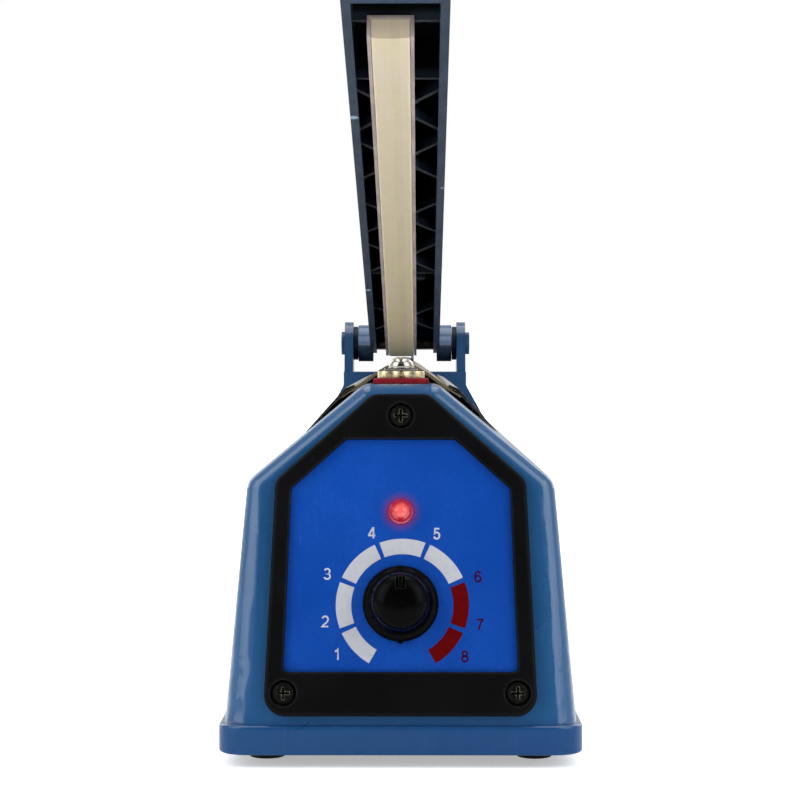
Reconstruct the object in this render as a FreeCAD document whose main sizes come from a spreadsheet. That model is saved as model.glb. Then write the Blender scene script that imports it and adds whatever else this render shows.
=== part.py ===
import FreeCAD, Part
import os
import math
import Sketcher
from FreeCAD import Vector, Placement, Rotation

# Impulse heat sealer, hand operated: a ridged base casting with the sealing bed along its
# ridge, an arm hinged at the rear and raised, and the works inside.  Millimetres.
# Frame: +X right, +Y to the rear (hinge end), +Z up.
# Origin: on the ground, under the middle of the 400 mm long base.

doc = FreeCAD.newDocument("impulse_heat_sealer")
sheet = doc.addObject("Spreadsheet::Sheet", "dims")

DIMENSIONS = [
    # base casting
    ("base_len", 400), ("flange_w", 86.4), ("flange_tall", 7), ("foot_tall", 3),
    ("flange_round", 7), ("wall_low_w", 83.6), ("shoulder_w", 73.7), ("shoulder_z", 67),
    ("ridge_w", 18), ("ridge_z", 90.1), ("lean_deg", 9), ("face_y", -199), ("rear_y", 199),
    ("cast_thick", 3), ("edge_round", 4.6), ("face_round", 4.2), ("corner_round", 6.4),
    # hinge
    ("hinge_y", 185), ("hinge_z", 101.4), ("raise_deg", 13.6), ("arm_play_deg", 0.22),
    ("block_w", 48), ("block_y0", 172), ("block_y1", 197), ("ear_in", 20.4),
    ("ear_thick", 3.4), ("ear_round", 8.4), ("pin_rad", 2.4), ("bore_rad", 2.48),
    ("barrel_rad", 7.2), ("barrel_out", 18.4),
    # arm
    ("arm_w", 27.2), ("arm_wall", 2.4), ("arm_len", 430), ("rim_z", -3.3), ("roof_z", 14),
    ("roof_thick", 2.6), ("rib_thick", 1.3), ("rib_low", -0.4), ("strip_face", -6.8),
    ("strip_w", 10), ("holder_w", 12), ("strip_off", -1.4), ("strip_start", 5),
    ("strip_end", 349.2),
    # front panel, measured up the leaning face from the top of the flange
    ("bezel_low", 2.1), ("bezel_low_half", 32.35), ("bezel_sh", 57.8),
    ("bezel_sh_half", 29.85), ("bezel_top", 78.6), ("bezel_top_half", 6.8),
    ("bezel_thick", 2.4), ("label_low", 12.4), ("label_low_half", 27.75),
    ("label_sh", 55.8), ("label_sh_half", 26.1), ("label_top", 67.7),
    ("label_top_half", 13.0), ("label_depth", 1.6), ("label_thick", 0.25),
    ("dial_s", 28.5), ("lamp_s", 50.35), ("screw_low_s", 7.5), ("screw_low_x", 27.6),
    ("screw_top_s", 73.3), ("knob_skirt", 9.0), ("knob_cap", 7.0),
    # sealing bed
    ("anvil_w", 6.2), ("anvil_top", 93.7), ("bed_y0", -154), ("bed_y1", 138),
    ("cloth_top", 94.55), ("cloth_flat", 3.6), ("cloth_x", 15.2), ("cloth_z", 86.52),
    ("cloth_thick", 0.35), ("clamp_y0", -146), ("clamp_y1", 130),
    ("term_front_y", -168), ("term_rear_y", 149), ("rod_y", 163),
    # inside
    ("plate_thick", 1.2), ("core_w", 57), ("core_tall", 48), ("core_stack", 38),
    ("core_y", 30), ("cord_rad", 3.2), ("cord_x", -20), ("cord_z", 22),
]
for row, (alias, value) in enumerate(DIMENSIONS, start=1):
    sheet.set("A%d" % row, alias)
    sheet.set("B%d" % row, str(value))
    sheet.setAlias("B%d" % row, alias)
doc.recompute()
SIZE = {alias: float(value) for alias, value in DIMENSIONS}


# ------------------------------------------------------------------ driven values
class Driven:
    """A number that carries both its value and the sheet formula that drives it."""

    def __init__(self, value, formula):
        self.value, self.formula = value, formula

    def combine(self, value, sign, other):
        return Driven(value, "(%s %s %s)" % (self.formula, sign, other.formula))

    def __add__(self, other):
        other = driven(other)
        return self.combine(self.value + other.value, "+", other)

    def __sub__(self, other):
        other = driven(other)
        return self.combine(self.value - other.value, "-", other)

    def __mul__(self, other):
        other = driven(other)
        return self.combine(self.value * other.value, "*", other)

    def __truediv__(self, other):
        other = driven(other)
        return self.combine(self.value / other.value, "/", other)

    def __neg__(self):
        return Driven(-self.value, "(0 - %s)" % self.formula)

    def from_sheet(self):
        return "dims." in self.formula


def driven(x):
    if isinstance(x, Driven):
        return x
    text = repr(round(float(x), 6)) if x >= 0 else "(0 - %r)" % round(-float(x), 6)
    return Driven(float(x), text)


def dim(alias):
    return Driven(SIZE[alias], "dims." + alias)


def sine(degrees):
    return Driven(math.sin(math.radians(degrees.value)), "sin(%s * 1 deg)" % degrees.formula)


def cosine(degrees):
    return Driven(math.cos(math.radians(degrees.value)), "cos(%s * 1 deg)" % degrees.formula)


def bind(obj, prop, value):
    """Set a property, or bind it to the sheet when the value depends on it."""
    value = driven(value)
    if value.from_sheet():
        obj.setExpression(prop, value.formula)
    else:
        setattr(obj, prop, value.value)


def put(obj, x, y, z, turn=None):
    x, y, z = driven(x), driven(y), driven(z)
    obj.Placement = Placement(Vector(x.value, y.value, z.value), turn or Rotation())
    for axis, value in (("x", x), ("y", y), ("z", z)):
        if value.from_sheet():
            obj.setExpression("Placement.Base." + axis, value.formula)


# ------------------------------------------------------------------ solids and booleans
AXIS_TURNS = {"z": Rotation(), "x": Rotation(Vector(0, 1, 0), 90),
              "y": Rotation(Vector(1, 0, 0), -90)}
made_count = [0]


def next_name(prefix):
    made_count[0] += 1
    return "%s%03d" % (prefix, made_count[0])


def new(kind, label):
    obj = doc.addObject(kind, next_name("n"))
    obj.Label = label
    return obj


def box(x0, x1, y0, y1, z0, z1, label="block"):
    obj = new("Part::Box", label)
    x0, x1, y0, y1, z0, z1 = map(driven, (x0, x1, y0, y1, z0, z1))
    bind(obj, "Length", x1 - x0)
    bind(obj, "Width", y1 - y0)
    bind(obj, "Height", z1 - z0)
    put(obj, x0, y0, z0)
    return obj


def axis_turn(axis):
    """The rotation for an axis letter; a rotation passes through."""
    return AXIS_TURNS[axis] if isinstance(axis, str) else axis


def cyl(x, y, z, radius, tall, axis="z"):
    obj = new("Part::Cylinder", "round")
    bind(obj, "Radius", radius)
    bind(obj, "Height", tall)
    put(obj, x, y, z, axis_turn(axis))
    return obj


def cone(x, y, z, radius_1, radius_2, tall, axis):
    obj = new("Part::Cone", "cone")
    bind(obj, "Radius1", radius_1)
    bind(obj, "Radius2", radius_2)
    bind(obj, "Height", tall)
    put(obj, x, y, z, axis_turn(axis))
    return obj


def upright_rounds(places, z, radius, tall):
    return [cyl(x, y, z, radius, tall) for x, y in places]


def cut(base, tool, label="cut"):
    obj = new("Part::Cut", label)
    obj.Base, obj.Tool = base, tool
    return obj


def fuse(shapes, label="fuse"):
    obj = new("Part::MultiFuse", label)
    obj.Shapes = shapes
    return obj


def group(shapes, label):
    obj = new("Part::Compound", label)
    obj.Links = shapes
    return obj


def made(label, shape, place=None):
    """A piece shaped in code from sheet sizes."""
    obj = new("Part::Feature", label)
    obj.Shape = shape
    if place is not None:
        obj.Placement = place
    return obj


def rounded(obj, radius_for, label):
    """Round each edge of obj by radius_for(edge), leaving those it gives nothing for."""
    doc.recompute()
    fillet = new("Part::Fillet", label)
    fillet.Base = obj
    chosen = []
    for i, edge in enumerate(obj.Shape.Edges, start=1):
        radius = radius_for(edge)
        if radius:
            chosen.append((i, radius, radius))
    fillet.Edges = chosen
    obj.Visibility = False
    return fillet


# ------------------------------------------------------------------ sketched bodies
def constrain_point(sketch, geometry, position, x, y):
    """Tie a point of the sketch to driven coordinates, or to an axis where one is zero."""
    for kind, value, axis in (("DistanceX", x, -2), ("DistanceY", y, -1)):
        if abs(value.value) < 1e-9:
            sketch.addConstraint(
                Sketcher.Constraint("PointOnObject", geometry, position, axis))
            continue
        index = sketch.addConstraint(
            Sketcher.Constraint(kind, -1, 1, geometry, position, value.value))
        if value.from_sheet():
            sketch.setExpression("Constraints[%d]" % index, value.formula)


def loop(sketch, points):
    """Closed polygon whose corners are all driven by the sheet."""
    points = [(driven(x), driven(y)) for x, y in points]
    first = sketch.GeometryCount
    count = len(points)
    for i in range(count):
        ends = [Vector(x.value, y.value, 0) for x, y in (points[i], points[(i + 1) % count])]
        sketch.addGeometry(Part.LineSegment(*ends), False)
    for i in range(count):
        sketch.addConstraint(
            Sketcher.Constraint("Coincident", first + i, 2, first + (i + 1) % count, 1))
    for i, (x, y) in enumerate(points):
        constrain_point(sketch, first + i, 1, x, y)


def ring(sketch, x, y, radius):
    x, y, radius = driven(x), driven(y), driven(radius)
    circle = Part.Circle(Vector(x.value, y.value, 0), Vector(0, 0, 1), radius.value)
    geometry = sketch.addGeometry(circle, False)
    index = sketch.addConstraint(Sketcher.Constraint("Radius", geometry, radius.value))
    if radius.from_sheet():
        sketch.setExpression("Constraints[%d]" % index, radius.formula)
    constrain_point(sketch, geometry, 3, x, y)


def new_body(label, place=None):
    body = new("PartDesign::Body", label)
    if place is not None:
        body.Placement = place
    return body


def new_sketch(body, role="XY_Plane", offset=0):
    sketch = body.newObject("Sketcher::SketchObject", next_name("sk"))
    plane = [f for f in body.Origin.OriginFeatures if f.Role == role][0]
    sketch.AttachmentSupport = [(plane, "")]
    sketch.MapMode = "FlatFace"
    offset = driven(offset)
    if offset.value or offset.from_sheet():
        sketch.AttachmentOffset = Placement(Vector(0, 0, offset.value), Rotation())
        if offset.from_sheet():
            sketch.setExpression("AttachmentOffset.Base.z", offset.formula)
    return sketch


def extrude(body, kind, sketch, length, mid=False):
    feature = body.newObject("PartDesign::" + kind, next_name("f"))
    feature.Profile = sketch
    bind(feature, "Length", length)
    if mid:
        feature.Midplane = True


def prism(label, points, length, role="XY_Plane", offset=0, mid=False, place=None, holes=()):
    """A padded polygon; holes are (x, y, radius) in the same sketch."""
    body = new_body(label, place)
    sketch = new_sketch(body, role, offset)
    loop(sketch, points)
    for x, y, radius in holes:
        ring(sketch, x, y, radius)
    extrude(body, "Pad", sketch, length, mid)
    return body


def prism_along_y(label, points, y0, y1, place=None):
    """A section of (x, z) points running from y0 to y1."""
    return prism(label, points, y1 - y0, role="XZ_Plane", offset=-y1, place=place)


def turned(label, points, place):
    """A revolved piece: points are (radius, height) about the body's own Z axis."""
    body = new_body(label, place)
    sketch = new_sketch(body, "XZ_Plane")
    loop(sketch, points)
    feature = body.newObject("PartDesign::Revolution", next_name("f"))
    feature.Profile = sketch
    feature.ReferenceAxis = (sketch, ["V_Axis"])
    feature.Angle = 360
    return body


def symmetric(right_half):
    """Closed outline from its right half, listed from the bottom up."""
    left_half = [(-x, y) for x, y in reversed(right_half)]
    return left_half[-1:] + right_half + left_half[:-1]


def hexagon(across_flats, x=0.0, y=0.0, turn=0.0):
    radius = across_flats / math.sqrt(3.0)
    angles = [math.radians(60 * i + turn) for i in range(6)]
    return [(x + radius * math.cos(a), y + radius * math.sin(a)) for a in angles]


def at(x, y, z, turn=None):
    return Placement(Vector(x, y, z), turn or Rotation())


def cross_slot(half_len, half_w, low, high, place):
    """Cutter for a cross recess standing on the placement's Z axis."""
    cross = fuse([box(-half_len, half_len, -half_w, half_w, low, high),
                  box(-half_w, half_w, -half_len, half_len, low, high)])
    cross.Placement = place
    return cross


def is_upright(edge):
    bounds = edge.BoundBox
    return bounds.ZLength > 5 and bounds.XLength < 0.01 and bounds.YLength < 0.01


NODES = []


def node(obj):
    """Mark a finished piece for export."""
    NODES.append(obj)


# ------------------------------------------------------------------ shared places
foot_top = dim("foot_tall")
flange_top = dim("foot_tall") + dim("flange_tall")
lean_slope = sine(dim("lean_deg")) / cosine(dim("lean_deg"))

# local Z stands out of the leaning front face
LEAN = Rotation(Vector(1, 0, 0), 90 - SIZE["lean_deg"])
ARM = at(0, SIZE["hinge_y"], SIZE["hinge_z"],
         Rotation(Vector(1, 0, 0), -SIZE["raise_deg"])
         * Rotation(Vector(0, 0, 1), -SIZE["arm_play_deg"]))

# (x, y) places seen from above
BASE_SCREWS = [(x, y) for y in (-160, 0, 160) for x in (-34.2, 34.2)]
FEET = [(x, y) for y in (-183, 183) for x in (-32.3, 32.3)]
CORE_SCREWS = [(x, dim("core_y")) for x in (-33.4, 33.4)]
BOARD_SCREWS = [(x, y) for x in (-24, 24) for y in (-148, -86)]
BRACKET_SCREWS = [(13, 145), (13, 163)]
SWITCH_SCREWS = [(146.5, 44.5), (160.5, 37.0)]  # (y, z)
# (x, height up the leaning face)
BEZEL_SCREWS = [(-dim("screw_low_x"), dim("screw_low_s")),
                (dim("screw_low_x"), dim("screw_low_s")), (0, dim("screw_top_s"))]

# clamp screws: where their axis meets the strip, its outward direction, stations along Y
CLAMP_X, CLAMP_Z = 20.2, 82.24
CLAMP_OUT_X, CLAMP_OUT_Z = 0.7455, 0.6665
CLAMP_STATIONS = (-128, -44, 40, 118)


def on_face(height, out, x=0):
    """Point at a height up the leaning face and a distance out of it."""
    lean = dim("lean_deg")
    height, out = driven(height), driven(out)
    return (driven(x), dim("face_y") + height * sine(lean) - out * cosine(lean),
            flange_top + height * cosine(lean) + out * sine(lean))


def face_place(height=0.0, x=0.0, out=0.0):
    return at(*[c.value for c in on_face(height, out, x)], LEAN)


def face_cyl(x, height, out, radius, tall):
    return cyl(*on_face(height, out, x), radius, tall, LEAN)


def clamp_turn(side):
    return Rotation(Vector(0, 0, 1), Vector(side * CLAMP_OUT_X, 0, CLAMP_OUT_Z))


def clamp_point(side, y, depth):
    """Point on a clamp screw's axis, a depth below the strip."""
    return (side * (CLAMP_X - depth * CLAMP_OUT_X), y, CLAMP_Z - depth * CLAMP_OUT_Z)


# ------------------------------------------------------------------ base casting
def cut_leaning_face(body, foot_y):
    """Take away what stands in front of a face leaning back from foot_y."""
    sketch = new_sketch(body, "YZ_Plane")
    loop(sketch, [(foot_y, flange_top), (foot_y + lean_slope * 100, flange_top + 100),
                  (foot_y - 30, flange_top + 100), (foot_y - 30, flange_top)])
    extrude(body, "Pocket", sketch, 200, mid=True)


def on_front_face(point):
    face_y = SIZE["face_y"] + lean_slope.value * (point.z - flange_top.value)
    return abs(point.y - face_y) < 0.05 and point.z > flange_top.value - 0.1


def on_rear_face(point):
    return abs(point.y - SIZE["rear_y"]) < 0.05


def long_edge_radius(edge):
    bounds = edge.BoundBox
    return SIZE["edge_round"] if bounds.YLength > 300 and bounds.ZMin > 50 else 0


def face_edge_radius(edge):
    """Corner radius up the sides of both end faces, face radius over their tops."""
    bounds = edge.BoundBox
    just_over_flange = flange_top.value + 0.2
    if (bounds.ZMax < just_over_flange and bounds.ZLength > 6 and bounds.YLength < 0.01
            and bounds.XLength < 0.01 and abs(bounds.YMin - SIZE["face_y"]) < 0.01):
        return SIZE["corner_round"]
    ends = [v.Point for v in edge.Vertexes]
    middle = edge.valueAt((edge.FirstParameter + edge.LastParameter) / 2)
    for on_end_face in (on_front_face, on_rear_face):
        if not (all(on_end_face(p) for p in ends) and on_end_face(middle)):
            continue
        front = on_end_face is on_front_face
        if bounds.ZMax < foot_top.value + 0.6 or (front and bounds.ZMax < just_over_flange):
            return 0
        if front and bounds.ZMin < just_over_flange:
            return SIZE["corner_round"]
        if not front and bounds.ZLength > 5 and bounds.ZMax < SIZE["shoulder_z"] + 0.5:
            return SIZE["corner_round"]
        return SIZE["face_round"]
    return 0


def flange_edge_radius(edge):
    bounds = edge.BoundBox
    if bounds.ZMin > flange_top.value - 0.1:
        return 0.9
    return 0.7 if bounds.ZMax < foot_top.value + 0.1 else 0


def casing_outside():
    outer = new_body("casing_outer")
    sketch = new_sketch(outer, "XZ_Plane")
    wall_half = dim("wall_low_w") / 2
    loop(sketch, symmetric([(wall_half, foot_top + 0.4), (wall_half, flange_top),
                            (dim("shoulder_w") / 2, dim("shoulder_z")),
                            (dim("ridge_w") / 2, dim("ridge_z"))]))
    extrude(outer, "Pad", sketch, dim("rear_y") * 2, mid=True)
    cut_leaning_face(outer, dim("face_y"))
    long_rounds = rounded(outer, long_edge_radius, "casing_long_rounds")
    return rounded(long_rounds, face_edge_radius, "casing_face_rounds")


def casing_flange():
    flange = new_body("casing_flange")
    sketch = new_sketch(flange, "XY_Plane", foot_top)
    half_len = dim("base_len") / 2
    loop(sketch, symmetric([(dim("flange_w") / 2, -half_len), (dim("flange_w") / 2, half_len)]))
    extrude(flange, "Pad", sketch, dim("flange_tall"))
    corners = rounded(flange, lambda e: SIZE["flange_round"] if is_upright(e) else 0,
                      "flange_corners")
    return rounded(corners, flange_edge_radius, "flange_edges")


def hinge_mount():
    """Hinge block across the ridge and its two ears."""
    half, ridge_z = dim("block_w") / 2, dim("ridge_z")
    block = prism_along_y("hinge_block", [
        (-31.5, 71.4), (-half, 85.0), (-half, ridge_z), (half, ridge_z), (half, 85.0),
        (31.5, 71.4), (30.2, 70.2), (8.0, 88.6), (-8.0, 88.6), (-30.2, 70.2)],
        dim("block_y0"), dim("block_y1"))
    pieces = [block]
    y, z, thick, reach = dim("hinge_y"), dim("hinge_z"), dim("ear_thick"), dim("ear_round")
    for ear_x in (-(dim("ear_in") + thick), dim("ear_in")):
        pieces.append(cyl(ear_x, y, z, reach, thick, "x"))
        pieces.append(prism("ear_web", [(y - 12.3, 88.0), (y - reach + 0.4, z + 2.0),
                                        (y + reach - 0.4, z + 2.0), (y + 11.8, 88.0)],
                            thick, role="YZ_Plane", offset=ear_x))
    return pieces


def casing_core():
    """The hollow inside: much the same section one wall thickness in, open below."""
    core = new_body("casing_core")
    sketch = new_sketch(core, "XZ_Plane")
    wall_half = dim("wall_low_w") / 2 - 2.9
    loop(sketch, symmetric([(wall_half, 0), (wall_half, flange_top),
                            (dim("shoulder_w") / 2 - 2.65, 65.0),
                            (dim("ridge_w") / 2 - 1.1, dim("ridge_z") - dim("cast_thick"))]))
    extrude(core, "Pad", sketch, (dim("rear_y") - 3.4) * 2, mid=True)
    cut_leaning_face(core, dim("face_y") + 3.3)
    return core


def casing_holes():
    holes = upright_rounds(BASE_SCREWS, 0, 1.95, 16)
    holes += [face_cyl(x, height, -8.0, 1.5, 12) for x, height in BEZEL_SCREWS]
    holes.append(face_cyl(0, dim("dial_s"), -8, 3.6, 14))
    holes.append(face_cyl(0, dim("lamp_s"), -8, 3.3, 14))
    for alias, radius in (("term_front_y", 2.6), ("term_rear_y", 2.6), ("rod_y", 4.25)):
        holes.append(cyl(0, dim(alias), 80, radius, 14))
    holes.append(cyl(dim("cord_x"), dim("rear_y") - 8, dim("cord_z"), 7.05, 14, "y"))
    holes.append(cyl(-30, dim("hinge_y"), dim("hinge_z"), dim("bore_rad"), 60, "x"))
    # clamp screw holes, square to the clamp strips
    for side in (-1, 1):
        for y in CLAMP_STATIONS:
            holes.append(cyl(*clamp_point(side, y, 8), 1.3, 12, clamp_turn(side)))
    return fuse(holes, "casing_holes")


def body_shell():
    outside = casing_outside()
    flange = casing_flange()
    mount = hinge_mount()
    core = casing_core()
    shell = cut(fuse([outside, flange]), core, "casing_hollow")
    bosses = upright_rounds(BASE_SCREWS, foot_top + dim("plate_thick") + 0.05, 4.5, 16)
    bosses += [face_cyl(x, height, -9.0, 3.3, 6.5) for x, height in BEZEL_SCREWS]
    solid = fuse([shell] + mount + bosses, "casing_solid")
    node(cut(solid, casing_holes(), "body_shell"))


body_shell()

# ------------------------------------------------------------------ underside
plate_holes = upright_rounds(BASE_SCREWS, 0, 1.95, 10)
plate_holes += upright_rounds(FEET, 0, 2.1, 10)
plate_holes += upright_rounds(CORE_SCREWS, 0, 1.95, 10)
plate_holes += upright_rounds(BOARD_SCREWS, 0, 1.45, 10)
plate_holes += upright_rounds(BRACKET_SCREWS, 0, 1.45, 10)
vent_slots = [box(-14, 14, y, y + 3, 0, 8) for y in (70, 78, 86, 94, 102)]
plate_blank = box(-37.9, 37.9, -194.8, 194.8, foot_top, foot_top + dim("plate_thick"))
node(cut(plate_blank, fuse(plate_holes + vent_slots), "base_plate"))

HEAD_OUTLINE = [(0, 0), (2.4, 0), (3.6, 0.8), (3.6, 2.0), (0, 2.0)]
FOOT_OUTLINE = [(0, 0), (3.9, 0), (4.4, 0.5), (4.4, 2.97), (2.0, 2.97), (2.0, 4.3),
                (2.7, 4.4), (2.2, 6.2), (0, 6.2)]
node(group([fuse([turned("head", HEAD_OUTLINE, at(x, y, SIZE["foot_tall"] - 2.02)),
                  cyl(x, y, foot_top - 0.1, 1.88, 11)]) for x, y in BASE_SCREWS],
           "base_screws"))
node(group([turned("foot", FOOT_OUTLINE, at(x, y, 0)) for x, y in FEET], "rubber_feet"))

# ------------------------------------------------------------------ front panel
BEZEL_GAP = 0.02  # between the casting face and the bezel
LABEL_INSET = 0.08  # label edge inside its well
bezel_thick, well_depth = dim("bezel_thick"), dim("label_depth")


def panel_outline(part, inset=0.0):
    """Six-sided outline of the bezel or label, drawn in at its sides and ends."""
    return symmetric([(dim(part + "_low_half") - inset, dim(part + "_low") + inset),
                      (dim(part + "_sh_half") - inset, dim(part + "_sh")),
                      (dim(part + "_top_half") - inset, dim(part + "_top") - inset)])


def bezel_corner_radius(edge):
    chord = edge.valueAt(edge.FirstParameter).sub(edge.valueAt(edge.LastParameter)).Length
    if abs(chord - bezel_thick.value) > 0.01:
        return 0
    return 5.0 if edge.BoundBox.ZMin < 20 else 4.0


def bezel_rim_radius(edge):
    """Outer front edges only: away from the casting face."""
    lean = math.radians(SIZE["lean_deg"])
    outward = Vector(0, -math.cos(lean), math.sin(lean))
    back = face_place(out=BEZEL_GAP).Base
    at_front = all(abs((v.Point - back).dot(outward) - bezel_thick.value) < 0.02
                   for v in edge.Vertexes)
    return 0.9 if at_front else 0


def front_bezel():
    place = face_place(out=BEZEL_GAP)
    plate = prism("bezel_plate", panel_outline("bezel"), bezel_thick, place=place)
    corners = rounded(plate, bezel_corner_radius, "bezel_corners")
    rim = rounded(corners, bezel_rim_radius, "bezel_rim")
    well_tall = 6
    well = prism("label_well", panel_outline("label"), well_tall,
                 offset=bezel_thick - well_depth, place=place)
    well_rounds = rounded(well, lambda e: 1.2 if abs(e.Length - well_tall) < 0.01 else 0,
                          "label_well_corners")
    holes = []
    for x, height in BEZEL_SCREWS:
        holes.append(face_cyl(x, height, -1, 1.6, 6))
        holes.append(face_cyl(x, height, 1.2, 3.1, 6))
    holes.append(face_cyl(0, dim("dial_s"), -1, 3.6, 6))
    holes.append(face_cyl(0, dim("lamp_s"), -1, 2.65, 6))
    node(cut(rim, fuse([well_rounds] + holes), "front_bezel"))


def panel_label():
    out = BEZEL_GAP + bezel_thick.value - well_depth.value + 0.01
    label_sheet = prism("label_sheet", panel_outline("label", LABEL_INSET),
                        dim("label_thick"), place=face_place(out=out))
    corners = rounded(
        label_sheet, lambda e: 1.1 if abs(e.Length - SIZE["label_thick"]) < 0.01 else 0,
        "label_corners")
    node(cut(corners, fuse([face_cyl(0, dim("dial_s"), -1, 3.7, 6),
                            face_cyl(0, dim("lamp_s"), -1, 2.65, 6)]), "panel_label"))


def bezel_screws():
    outline = [(0, -6.5), (1.45, -6.5), (1.45, 1.22), (2.8, 1.22), (2.8, 1.75),
               (2.2, 2.35), (1.1, 2.65), (0, 2.7)]
    screws = []
    for x, height in BEZEL_SCREWS:
        place = face_place(height, x)
        blank = turned("bezel_screw_blank", outline, place)
        screws.append(cut(blank, cross_slot(1.5, 0.33, 1.7, 3.2, place)))
    node(group(screws, "bezel_screws"))


front_bezel()
panel_label()
bezel_screws()

# pilot lamp
lamp_place = face_place(SIZE["lamp_s"])
node(turned("pilot_lamp_lens", [
    (0, -5.0), (2.5, -5.0), (2.5, 1.12), (2.9, 1.12), (2.9, 1.6), (2.5, 1.7),
    (2.5, 2.3), (2.2, 3.2), (1.5, 3.9), (0.7, 4.15), (0, 4.2)], lamp_place))
node(turned("pilot_lamp_holder", [
    (2.6, -7.5), (3.6, -7.5), (4.3, -6.9), (4.3, -3.45), (2.6, -3.45)], lamp_place))

# potentiometer behind the face, its shaft and the knob
dial_place = face_place(SIZE["dial_s"])
node(fuse([
    turned("pot_can", [(3.1, -12.2), (8.2, -12.2), (8.2, -3.9), (6.0, -3.45), (3.1, -3.45)],
           dial_place),
    turned("pot_bush", [(3.05, -6.0), (3.5, -6.0), (3.5, 4.2), (3.05, 4.2)], dial_place),
    turned("pot_back", [(0, -12.8), (6.5, -12.8), (6.5, -12.1), (3.0, -12.1),
                        (3.0, -12.3), (0, -12.3)], dial_place),
], "potentiometer"))
node(prism("pot_nut", hexagon(10), 1.9, offset=1.12, holes=[(0, 0, 3.52)],
           place=dial_place))
node(turned("pot_shaft", [(0, -12.2), (3.0, -12.2), (3.0, 12.0), (2.6, 12.5), (0, 12.5)],
            dial_place))
knob_blank = turned("knob_turned", [
    (3.03, 4.6), (3.03, 12.55), (0, 12.55), (0, 15.9), (1.6, 15.85), (3.4, 15.6),
    (4.9, 15.1), (6.0, 14.35), (6.7, 13.4), (dim("knob_cap"), 12.3), (7.15, 8.0),
    (7.35, 5.6), (7.8, 4.6), (8.6, 4.1), (8.95, 3.6), (dim("knob_skirt"), 3.0),
    (dim("knob_skirt"), 1.75), (8.7, 1.35), (6.4, 1.35), (6.4, 4.6)], dial_place)
knob_notch = box(-0.95, 0.95, 4.3, 7.6, 12.9, 17)
knob_notch.Placement = dial_place * knob_notch.Placement
node(cut(knob_blank, knob_notch, "timer_knob"))

# ------------------------------------------------------------------ sealing bed
bed_y0, bed_y1 = dim("bed_y0"), dim("bed_y1")
anvil_half, anvil_top = dim("anvil_w") / 2, dim("anvil_top")
BED_GAP = 0.02  # between stacked pieces
ELEMENT_LOW, ELEMENT_HIGH = 0.22, 0.42  # above the anvil
TAIL_LOW, TAIL_HIGH = 93.22, 93.42  # heights of the element ends

node(prism_along_y("anvil_bar", symmetric([
    (anvil_half, dim("ridge_z") + BED_GAP), (anvil_half, anvil_top - 0.5),
    (anvil_half - 0.5, anvil_top)]), bed_y0, bed_y1))
node(box(-2.5, 2.5, bed_y0, bed_y1, anvil_top + BED_GAP, anvil_top + 0.2,
         "insulating_tape"))


def element_tail(label, bed_end, bend_y, end_y):
    """End of the element, stepping down off the anvil."""
    return prism(label, [
        (bed_end, anvil_top + ELEMENT_LOW), (bed_end, anvil_top + ELEMENT_HIGH),
        (bend_y, TAIL_HIGH), (end_y, TAIL_HIGH), (end_y, TAIL_LOW), (bend_y, TAIL_LOW)],
        2.0, role="YZ_Plane", mid=True)


node(fuse([
    box(-1.0, 1.0, bed_y0, bed_y1, anvil_top + ELEMENT_LOW, anvil_top + ELEMENT_HIGH),
    element_tail("element_tail_front", bed_y0 + 0.1, -162.2, -165.0),
    element_tail("element_tail_rear", bed_y1 - 0.1, 143.2, 145.4)], "heating_element"))

cloth_x, cloth_z = dim("cloth_x"), dim("cloth_z")
cloth_flat, cloth_top = dim("cloth_flat"), dim("cloth_top")
cloth_thick = dim("cloth_thick")
node(prism_along_y("ptfe_cloth", [
    (-cloth_x, cloth_z), (-cloth_flat, cloth_top), (cloth_flat, cloth_top),
    (cloth_x, cloth_z), (cloth_x - 0.25, cloth_z - cloth_thick),
    (cloth_flat - 0.1, cloth_top - cloth_thick),
    (-(cloth_flat - 0.1), cloth_top - cloth_thick),
    (-(cloth_x - 0.25), cloth_z - cloth_thick)], bed_y0 - 1.0, bed_y1 + 1.0))

# clamp strips: folded aluminium, upper lip over the cloth, lower edge on the slope
# (x, z) section of the right strip: outer side down, then inner side up
CLAMP_SECTION = [(12.3, 89.5), (14.7, 88.5), (24.75, 77.25),
                 (24.0, 77.75), (14.1, 87.75), (11.95, 88.98)]
for side, name in ((-1, "side_clamp_left"), (1, "side_clamp_right")):
    blank = prism_along_y(name + "_blank", [(side * x, z) for x, z in CLAMP_SECTION],
                          dim("clamp_y0"), dim("clamp_y1"))
    countersunk = []
    for y in CLAMP_STATIONS:
        turn = clamp_turn(side)
        countersunk.append(cyl(*clamp_point(side, y, 4), 1.4, 8, turn))
        countersunk.append(cone(*clamp_point(side, y, 0.55), 1.35, 2.75, 0.95, turn))
    node(cut(blank, fuse(countersunk), name))

clamp_screws = []
for side in (-1, 1):
    for y in CLAMP_STATIONS:
        place = at(*clamp_point(side, y, 0), clamp_turn(side))
        blank = turned("clamp_screw_blank", [(0, -6.0), (1.25, -6.0), (1.25, -0.55),
                                             (2.55, 0.28), (0, 0.28)], place)
        clamp_screws.append(cut(blank, cross_slot(1.4, 0.28, -0.2, 0.6, place)))
node(group(clamp_screws, "clamp_screws"))

# ------------------------------------------------------------------ element terminals
TERMINAL_YS = (SIZE["term_front_y"], SIZE["term_rear_y"])
TERMINAL_LIFT, TERMINAL_THICK = 1.27, 1.8  # underside above the ridge, thickness
terminal_low = dim("ridge_z") + TERMINAL_LIFT
terminal_high = terminal_low + TERMINAL_THICK


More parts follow.
